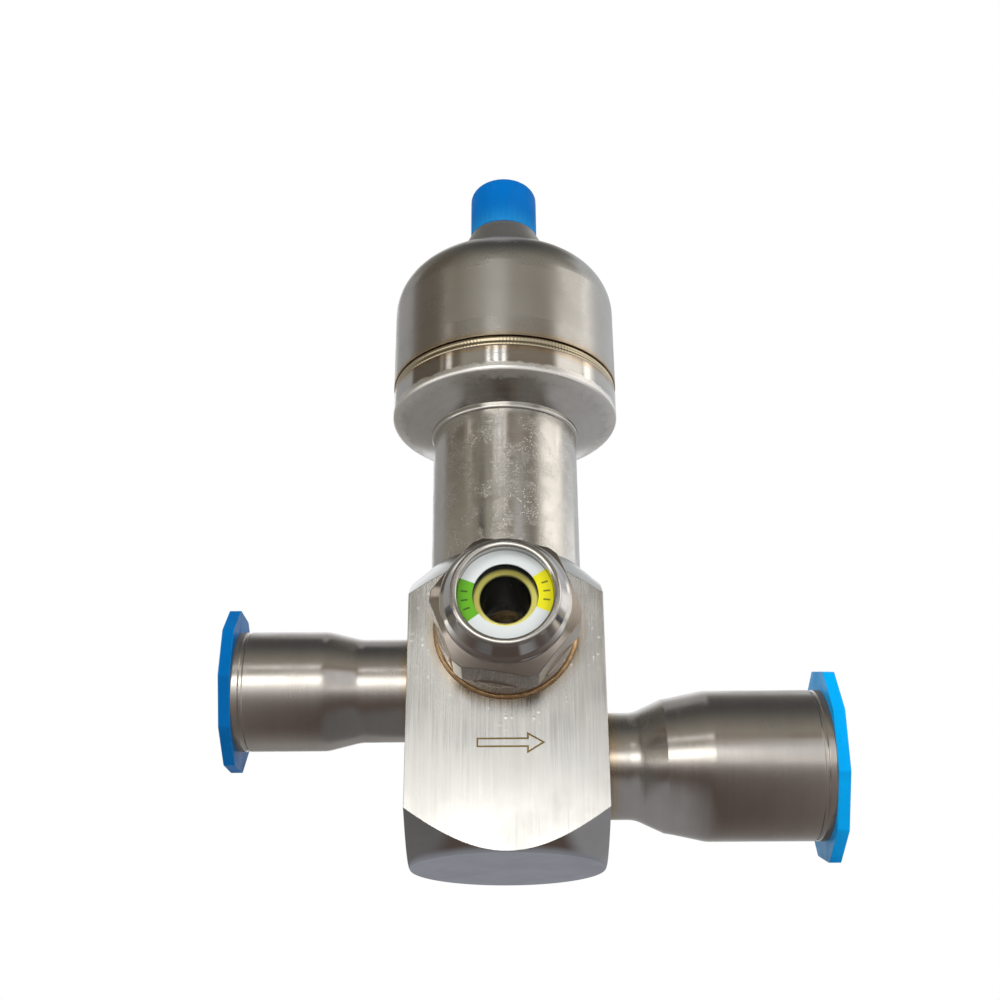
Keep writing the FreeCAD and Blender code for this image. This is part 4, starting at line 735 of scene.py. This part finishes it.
class VALVE_OT_body(bpy.types.Operator):
    """Finishes the square body and marks the flow arrow on it"""
    bl_idname = "valve.body"
    bl_label = "Body"

    def execute(self, context):
        dress(body_steel(context.scene.valve_steel), "valve_body")
        detail = context.scene.valve_detail
        mark, n, shader, place = start_material("burnt_mark")
        burn = n.noise(place, 3.0, 3.0)
        coat(n, shader, n.blend(burn, (0.13, 0.085, 0.022), (0.30, 0.22, 0.075)),
             n.spread(burn, 0.35, 0.6), 0.7)
        tail, neck, tip, low, high = -5.9, 4.0, 7.6, 20.14, 22.05
        outline = [(tail, low), (neck, low), (neck, 18.87), (tip, 21.1), (neck, 23.17),
                   (neck, high), (tail, high)]
        arrow = stroke("flow_arrow", outline, detail.arrow_line / MM, detail.arrow_lift / MM)
        new_piece("flow_arrow", arrow, mark, smooth=False)
        return {"FINISHED"}


def stroke(name, outline, width, lift):
    """A closed line of one width round an outline on the body's front face."""
    count = len(outline)
    inner = []
    for index in range(count):
        before, here = Vector(outline[index - 1]), Vector(outline[index])
        after = Vector(outline[(index + 1) % count])
        first, second = (here - before).normalized(), (after - here).normalized()
        normal_a, normal_b = Vector((-first.y, first.x)), Vector((-second.y, second.x))
        mitre = (normal_a + normal_b).normalized()
        inner.append(here + mitre * (width / max(mitre.dot(normal_a), 0.3)))
    mesh = bmesh.new()
    front, back = -BODY_FACE - lift, -BODY_FACE
    loops = []
    for points, depth in ((outline, front), (inner, front), (inner, back), (outline, back)):
        loops.append([mesh.verts.new(Vector((p[0], depth, p[1])) * MM) for p in points])
    for index in range(count):
        following = (index + 1) % count
        for near, far in ((0, 1), (1, 2), (2, 3), (3, 0)):
            mesh.faces.new((loops[near][index], loops[near][following],
                            loops[far][following], loops[far][index]))
    return finished(mesh, name)


def wobble(angle, waves, seed):
    """Smooth noise round a ring, from -1 to 1."""
    return noise.noise(Vector((math.cos(angle) * waves, math.sin(angle) * waves, seed)))


def uneven(seed, amount, waves=9.0):
    """A shape function that makes a turned bead a little irregular."""
    def shape(radius, along, angle, index):
        push = wobble(angle, waves, seed + index * 0.2) * amount
        return radius + push, along + push * 0.5
    return shape


def braze_metal(name, colour):
    """Braze alloy that has run and frozen."""
    material, n, shader, place = start_material(name)
    run = n.noise(place, 1.4, 4.0, 0.6)
    scale = smear_of(n, place, 0.5)
    base = n.blend(run, at_level(colour, 0.75), colour)
    base = n.blend(n.times(scale, 0.22), base, (0.22, 0.12, 0.07))
    coat(n, shader, base, n.spread(scale, 0.26, 0.45), 1.0, run, 0.0001, 0.5)
    return material


class VALVE_OT_pipes(bpy.types.Operator):
    """Finishes the two stub pipes and their braze fillets"""
    bl_idname = "valve.pipes"
    bl_label = "Pipes"

    def execute(self, context):
        steel = context.scene.valve_steel
        width = context.scene.valve_detail.braze / MM
        reach = steel.heat_reach / MM
        braze = braze_metal("bronze_braze", (0.72, 0.47, 0.22))
        for name, side, height, tube, warmth in (("inlet", -1, INLET_HEIGHT, INLET_TUBE, 1.0),
                                                 ("outlet", 1, OUTLET_HEIGHT, OUTLET_TUBE, 1.6)):
            def hot(n, along, side=side, warmth=warmth):
                return n.minus(n.times(along, side), BODY_FACE), reach * warmth
            metal = turned_metal(name + "_pipe_steel", steel.pipes, steel.pipe_roughness, 2.2,
                                 0.07, 0.03, ALONG_X, (0, 0, height), hot=hot, edge=0.2,
                                 rough_span=0.03)
            dress(metal, name + "_pipe")
            face, sunk = BODY_FACE * side, 0.02
            profile = [(tube - sunk, face - sunk * side), (tube + width, face - sunk * side),
                       (tube + width * 0.45, face + side * width * 0.25),
                       (tube + width * 0.14, face + side * width * 0.6),
                       (tube - sunk, face + side * width)]
            ring = lathe(name + "_braze", profile, ALONG_X, (0, 0, height),
                         shape=uneven(side * 7.0, 0.16))
            new_piece(name + "_braze", ring, braze)
        return {"FINISHED"}


class VALVE_OT_plugs(bpy.types.Operator):
    """Finishes the two blue transport plugs"""
    bl_idname = "valve.plugs"
    bl_label = "Plugs"

    def execute(self, context):
        settings = context.scene.valve_plastic
        for name, colour in (("inlet_plug", settings.inlet_plug),
                             ("outlet_plug", settings.outlet_plug)):
            dress(plastic(name + "_blue", colour, settings.roughness), name)
        return {"FINISHED"}


class VALVE_OT_column(bpy.types.Operator):
    """Finishes the column tube"""
    bl_idname = "valve.column"
    bl_label = "Column"

    def execute(self, context):
        steel = context.scene.valve_steel
        metal = turned_metal("column_steel", steel.column, steel.column_roughness, 2.6, 0.4, 0.03,
                             grain=(3.0, 0.6, 5.0), rough_span=0.03)
        dress(metal, "column_tube")
        return {"FINISHED"}


class VALVE_OT_housing(bpy.types.Operator):
    """Finishes the housing's polished band, underside and rough lip, and welds it to the can"""
    bl_idname = "valve.housing"
    bl_label = "Housing"

    def execute(self, context):
        steel = context.scene.valve_steel
        lowest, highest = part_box("weld_bead")
        foot, top = lowest.z / MM, highest.z / MM

        def hot(n, along):
            return n.size(n.minus(along, foot)), BAND_HEAT

        def rough_lip(n, place, along, radius, turn, base, rough, height):
            ragged = n.plus(along, n.spread(n.noise(place, 0.45, 3.0), -0.8, 0.8))
            lip = n.times(n.ease(ragged, LIP_FOOT - 1.3, LIP_FOOT - 0.4),
                          n.fall(ragged, LIP_FOOT + 1.2, LIP_FOOT + 1.9))
            under = n.fall(along, LIP_FOOT - 1.0, LIP_FOOT - 0.2)
            grains = n.effect(sparkle(), {"Vector": place, "Grains per mm": 2.6, "Share": 0.6})
            base = n.blend(n.times(lip, n.spread(grains["Mask"], 0.55, 1.0)), base, GLINT)
            rough = n.plus(rough, n.times(lip, 0.30), n.times(under, 0.13))
            return base, rough, n.plus(height, n.times(lip, n.times(grains["Height"], 9.0)))

        metal = turned_metal("housing_steel", steel.housing, steel.band_roughness, 6.0, 0.2, 0.05,
                             hot=hot, rough_span=0.03, extra=rough_lip)
        dress(metal, "lower_housing")
        detail = context.scene.valve_detail
        ripple, count = detail.ripple / MM, detail.ripple_count
        inner, outer, rows = 25.5, 26.02, 10

        def ripples(radius, along, angle, index):
            if not 0 < index < rows:
                return radius, along
            scallop = 0.5 + 0.5 * math.cos(angle * count + (index - rows / 2) ** 2 * 0.10)
            drift = 0.03 * wobble(angle, 6, index * 0.15)
            return radius + ripple * (scallop - 0.6) + drift, along

        profile = [(inner, foot)]
        for index in range(1, rows):
            crown = abs(math.sin(math.tau * index / rows))
            profile.append((inner + (outer - inner) * (0.45 + 0.5 * crown),
                            foot + (top - foot) / rows * index))
        profile.append((inner, top))
        welded = turned_metal("straw_weld", (0.56, 0.485, 0.35), 0.16, 3.0, 0.5, 0.22,
                              rough_span=0.12)
        ring = lathe("weld_ring", profile, steps=840, shape=ripples)
        piece = new_piece("weld_ring", ring, welded)
        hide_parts("weld_bead")
        return {"FINISHED"}


class VALVE_OT_can(bpy.types.Operator):
    """Finishes the satin can, with a frosted bare place where a mark would go"""
    bl_idname = "valve.can"
    bl_label = "Motor can"

    def execute(self, context):
        steel = context.scene.valve_steel
        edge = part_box("weld_bead")[1].z / MM

        def hot(n, along):
            return n.plus(n.minus(along, edge), 0.5), CAN_HEAT

        def frosted(n, place, along, radius, turn, base, rough, height):
            front = -0.25  # in turns
            sideways, upward = n.size(n.minus(turn, front)), n.size(n.minus(along, LABEL_HEIGHT))
            panel = n.times(n.fall(sideways, 0.082, 0.088), n.fall(upward, 6.6, 7.1))
            base = n.blend(n.times(panel, 0.3), base, (0.60, 0.57, 0.53))
            return base, n.plus(rough, n.times(panel, 0.05)), height

        metal = turned_metal("can_steel", steel.can, steel.can_roughness, 4.0, 0.05, 0.02,
                             hot=hot, rough_span=0.03, extra=frosted)
        dress(metal, "motor_can")
        return {"FINISHED"}


class VALVE_OT_connector(bpy.types.Operator):
    """Cuts the connector's thread and finishes the insert, the pins and the cap"""
    bl_idname = "valve.connector"
    bl_label = "Connector"

    def execute(self, context):
        detail = context.scene.valve_detail
        metal = turned_metal("connector_steel", (0.60, 0.60, 0.59), 0.42, 4.0, 0.12, 0.04,
                             rough_span=0.04)
        lowest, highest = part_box("connector_shell")
        foot, top = lowest.z / MM, highest.z / MM
        neck = top - 11.0
        pitch, depth = detail.thread_pitch / MM, detail.thread_depth / MM
        bore, groove, crest, spigot = 4.6, 5.45, 5.95, 8.4
        wide, narrow, cone_foot, cone_rows = 13.95, 8.2, foot + 1.25, 8
        profile = [(bore, foot), (spigot, foot), (spigot, foot + 1.1), (14.0, foot + 1.1)]
        profile += [(wide + (narrow - wide) * index / cone_rows,
                     cone_foot + (neck - cone_foot) * index / cone_rows)
                    for index in range(cone_rows + 1)]
        profile += [(groove, neck), (groove, neck + 1.2)]
        rows = 96
        start, end = neck + 1.3, top - 0.45
        thread_first = len(profile)
        profile += [(crest, start + (end - start) * index / rows) for index in range(rows + 1)]
        thread_last = len(profile)
        profile += [(groove, top), (bore + 0.25, top), (bore, top - 0.3)]

        def threaded(radius, along, angle, index):
            if not thread_first <= index < thread_last:
                return radius, along
            wave = abs(((along / pitch - angle / math.tau) % 1.0) * 2 - 1)
            cut = min(max(wave * 1.35 - 0.18, 0.0), 1.0)
            fade = min(1.0, (along - start) / 0.5 + 0.2, (end - along) / 0.5 + 0.2)
            return radius - depth * cut * fade, along

        shell = lathe("connector_thread", profile, steps=128, shape=threaded)
        piece = new_piece("connector_thread", shell, metal)
        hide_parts("connector_shell")
        insert, n, shader, place = start_material("insert_plastic")
        skin = n.effect(moulded_skin(), {"Vector": place})
        coat(n, shader, n.blend(skin["Tone"], (0.018, 0.018, 0.02), (0.035, 0.035, 0.036)),
             n.spread(skin["Tone"], 0.4, 0.55), 0.0, skin["Height"])
        dress(insert, "connector_insert", "element_spacer")
        dress(turned_metal("gold_plate", (0.86, 0.62, 0.25), 0.16, 6.0, 0.1), "contact_pins")
        plastics = context.scene.valve_plastic
        blue = plastic("cap_blue", plastics.cap, plastics.roughness + 0.06)
        lowest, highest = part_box("connector_cap")
        foot, top, wide = lowest.z / MM, highest.z / MM, highest.x / MM
        bend, rows = detail.cap_bend / MM, 9
        bore, roof, broken = 6.3, top - 1.5, 0.25
        profile = [(0, roof), (bore, roof), (bore, foot), (wide - broken, foot),
                   (wide, foot + broken)]
        straight = len(profile)
        for index in range(rows + 1):
            angle = math.pi / 2 * index / rows
            profile.append((wide - bend + bend * math.cos(angle),
                            top - bend + bend * math.sin(angle)))
        profile.append((0, top))
        ribs, rib_depth = 36, 0.05

        def ribbed(radius, along, angle, index):
            if not straight - 1 <= index <= straight:
                return radius, along
            return radius - rib_depth * (0.5 - 0.5 * math.cos(angle * ribs)), along

        cap = lathe("capped_dome", profile, steps=216, shape=ribbed)
        piece = new_piece("capped_dome", cap, blue, "connector_cap")
        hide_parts("connector_cap")
        return {"FINISHED"}


class VALVE_OT_sight_glass(bpy.types.Operator):
    """Finishes the sight glass: fitting, braze, glass, dial and moisture element"""
    bl_idname = "valve.sight_glass"
    bl_label = "Sight glass"

    def execute(self, context):
        steel = context.scene.valve_steel
        dial = context.scene.valve_dial
        centre = (0, 0, SIGHT_HEIGHT)

        def hot(n, along):
            return n.minus(n.times(along, -1.0), BODY_FACE), FITTING_HEAT

        def painted_fitting_shade(n, place, along, radius, turn, base, rough, height):
            # painted shade: the bore inside the fitting is made near black
            inside = n.fall(radius, 5.02, 5.12)
            base = n.blend(inside, base, (0.022, 0.021, 0.020))
            # painted shade: the hexagon and its base, up to about 15 mm out from the body, are
            # tinted darker brown
            out = n.plus(hot(n, along)[0], n.spread(n.noise(place, 0.35, 2.0), -0.6, 0.6))
            brown_shade = n.times(n.fall(out, 14.4, 15.4), 0.85)
            base = n.blend(brown_shade, base, n.blend(1.0, base, (0.68, 0.61, 0.55), "MULTIPLY"))
            return base, n.plus(rough, n.times(inside, 0.12)), height

        metal = turned_metal("fitting_steel", steel.fitting, 0.085, 4.5, 0.16, 0.06, ALONG_Y,
                             centre, hot=hot, edge=0.35, rough_span=0.04, extra=painted_fitting_shade)
        dress(metal, "sight_glass_holder")
        copper = braze_metal("copper_braze", (0.98, 0.66, 0.36))
        base, face, sunk = SIGHT_BASE, -BODY_FACE, 0.02
        profile = [(base - sunk, face + sunk), (base + 0.62, face + sunk),
                   (base + 0.30, face - 0.14), (base + 0.10, face - 0.42),
                   (base - sunk, face - 0.75)]
        ring = lathe("fitting_braze", profile, ALONG_Y, centre, 200, uneven(3.0, 0.17, 12.0))
        piece = new_piece("fitting_braze", ring, copper)
        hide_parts("sight_braze_ring")
        self.dial(dial, centre)
        self.glass()
        return {"FINISHED"}

    def dial(self, settings, centre):
        material, n, shader, place = start_material("printed_dial")
        x, y, z = n.split(n.vector("SUBTRACT", place, centre))
        radius = n.reach(x, z)
        degrees = n.times(n.math("ARCTAN2", z, x), DEGREES)
        fibre = n.noise(place, 4.0, 3.0)
        base = n.blend(fibre, settings.white, at_level(settings.white, 0.95))
        middle_radius, half_spacing, half_tick = 7.9, 6.5, settings.tick / MM * 0.5
        band = n.fall(n.size(n.minus(radius, middle_radius)), 0.62, 0.68)
        for colour, middle, half in ((settings.green, 187.75, 29.25), (settings.yellow, 5.5, 28.5)):
            off = n.off(degrees, middle)
            inside = n.fall(n.size(off), half - 0.3, half + 0.3)
            base = n.blend(inside, base, colour)
            arc = n.times(n.size(n.math("WRAP", off, half_spacing, -half_spacing)), 1 / DEGREES)
            tick = n.fall(n.times(arc, radius), half_tick, half_tick * 1.4)
            tick = n.times(tick, n.fall(n.size(off), 19.0, 19.6))
            base = n.blend(n.times(tick, band), base, at_level(colour, 0.22))
        coat(n, shader, base, n.spread(fibre, 0.42, 0.55), 0.0, fibre, 0.00004, 0.3)
        dress(material, "indicator_dial")
        element, n, shader, place = start_material("moisture_paper")
        fibre = n.noise(place, 5.0, 4.0, 0.65)
        along, radius, turn = round_about(n, place, ALONG_Y, centre)
        paper = n.blend(fibre, at_level(settings.element, 0.8), settings.element)
        # painted shadow: the element's outer edge is darkened where the dial's edge shades it; its
        # inner edge round the hole is darkened too
        rim = n.math("MAXIMUM", n.ease(radius, 5.97, 6.07), n.fall(radius, 5.08, 5.18))
        coat(n, shader, n.blend(n.times(rim, 0.8), paper, (0.20, 0.18, 0.06)),
             n.spread(fibre, 0.6, 0.8), 0.0, fibre, 0.0001, 0.4)
        dress(element, "moisture_element")

    def glass(self):
        material = bpy.data.materials.new("clear_glass")
        n = emptied(material)
        dust = smear_of(n, n.place(), 0.3)
        shader = n.add("BsdfPrincipled", {"Base Color": (0.97, 0.985, 0.98), "IOR": 1.16,
                                          "Transmission Weight": 1.0,
                                          "Roughness": n.spread(dust, 0.0, 0.03)})
        clear = n.add("BsdfTransparent", {"Color": (0.93, 0.95, 0.94)})
        mixed = n.mix(n.add("LightPath").outputs["Is Shadow Ray"], shader, clear)
        n.add("OutputMaterial", {0: mixed.outputs[0]})
        dress(material, "sight_glass")


class VALVE_OT_works(bpy.types.Operator):
    """Finishes the seat, the piston, the spindle, the bearings and the motor inside"""
    bl_idname = "valve.works"
    bl_label = "Works"

    def execute(self, context):
        inner = context.scene.valve_steel.inner
        dress(turned_metal("machined_steel", inner, 0.22), "seat_ring", "piston", "key_tube",
              "spindle", "retaining_clip", "lower_bearing_outer", "lower_bearing_inner",
              "upper_bearing_outer", "upper_bearing_inner", "motor_screws", "preload_spring")
        dress(turned_metal("ball_steel", (0.70, 0.70, 0.71), 0.06, lines=8.0, depth=0.05,
                           contrast=0.03), "lower_bearing_balls", "upper_bearing_balls")
        dress(turned_metal("bearing_bronze", (0.66, 0.44, 0.20), 0.26), "drive_nut", "piston_guide")
        dress(turned_metal("cast_alloy", (0.66, 0.66, 0.67), 0.38, lines=2.0, depth=0.6,
                           grain=(2.2, 0.25, 1.6)), "end_frame")
        seal, n, shader, place = start_material("filled_seal")
        cloud = n.noise(place, 1.6, 4.0, 0.6)
        coat(n, shader, n.blend(cloud, (0.70, 0.69, 0.65), (0.86, 0.85, 0.81)),
             n.spread(cloud, 0.45, 0.6))
        dress(seal, "seat_seal", "piston_ring")
        self.laminations()
        self.windings()
        return {"FINISHED"}

    def laminations(self):
        for name, colour, sheets, nodes in (
                ("stacked_sheets", (0.20, 0.20, 0.21), 2.0,
                 ("stator_stack", "rotor_lower_stack", "rotor_upper_stack")),
                ("sintered_magnet", (0.12, 0.12, 0.125), 0.4, ("rotor_magnet",))):
            material, n, shader, place = start_material(name)
            sheet = n.math("FRACT", n.times(n.split(place)[2], sheets))
            seam = n.ease(n.size(n.minus(sheet, 0.5)), 0.38, 0.5)
            rust = n.noise(place, 0.8, 4.0, 0.6)
            base = n.blend(seam, colour, at_level(colour, 0.4))
            base = n.blend(n.ease(rust, 0.58, 0.8), base, (0.20, 0.12, 0.08))
            coat(n, shader, base, n.spread(rust, 0.35, 0.6), 0.8, seam, 0.00005, 0.7)
            dress(material, *nodes)

    def windings(self):
        material, n, shader, place = start_material("enamelled_wire")
        x, y, z = n.split(place)
        wave = n.math("SINE", n.times(n.reach(x, y), 16.0))
        cloud = n.noise(place, 0.7, 2.0)
        coat(n, shader, n.blend(n.spread(wave, 0.0, 1.0), (0.20, 0.055, 0.02), (0.62, 0.24, 0.09)),
             n.spread(cloud, 0.18, 0.35), 0.6, wave, 0.00008)
        dress(material, "motor_coils")
        cover, n, shader, place = start_material("lead_cover")
        skin = n.effect(moulded_skin(), {"Vector": place})
        coat(n, shader, n.blend(skin["Tone"], (0.35, 0.03, 0.02), (0.55, 0.06, 0.04)),
             n.spread(skin["Tone"], 0.45, 0.6))
        dress(cover, "winding_leads")


OPERATORS = (VALVE_OT_stage, VALVE_OT_body, VALVE_OT_pipes, VALVE_OT_plugs, VALVE_OT_column,
             VALVE_OT_housing, VALVE_OT_can, VALVE_OT_connector, VALVE_OT_sight_glass,
             VALVE_OT_works)
SETTINGS = (("valve_steel", ValveSteelSettings), ("valve_plastic", ValvePlasticSettings),
            ("valve_dial", ValveDialSettings), ("valve_detail", ValveDetailSettings),
            ("valve_stage", ValveStageSettings))


class VALVE_PT_finish(bpy.types.Panel):
    """The valve's sizes and colours, and a button for each group of pieces"""
    bl_idname = "VALVE_PT_finish"
    bl_label = "Expansion valve"
    bl_space_type = "VIEW_3D"
    bl_region_type = "UI"
    bl_category = "Valve"

    def draw(self, context):
        for attribute, group in SETTINGS:
            box = self.layout.box()
            settings = getattr(context.scene, attribute)
            for name in group.__annotations__:
                box.prop(settings, name)
        for operator in OPERATORS:
            self.layout.operator(operator.bl_idname)


def register():
    for attribute, group in SETTINGS:
        bpy.utils.register_class(group)
        setattr(bpy.types.Scene, attribute, bpy.props.PointerProperty(type=group))
    for operator in OPERATORS:
        bpy.utils.register_class(operator)
    bpy.utils.register_class(VALVE_PT_finish)


def unregister():
    bpy.utils.unregister_class(VALVE_PT_finish)
    for operator in reversed(OPERATORS):
        bpy.utils.unregister_class(operator)
    for attribute, group in reversed(SETTINGS):
        delattr(bpy.types.Scene, attribute)
        bpy.utils.unregister_class(group)


def main():
    register()
    for operator in OPERATORS:
        getattr(bpy.ops.valve, operator.bl_idname.split(".")[1])()


if __name__ == "__main__":
    main()
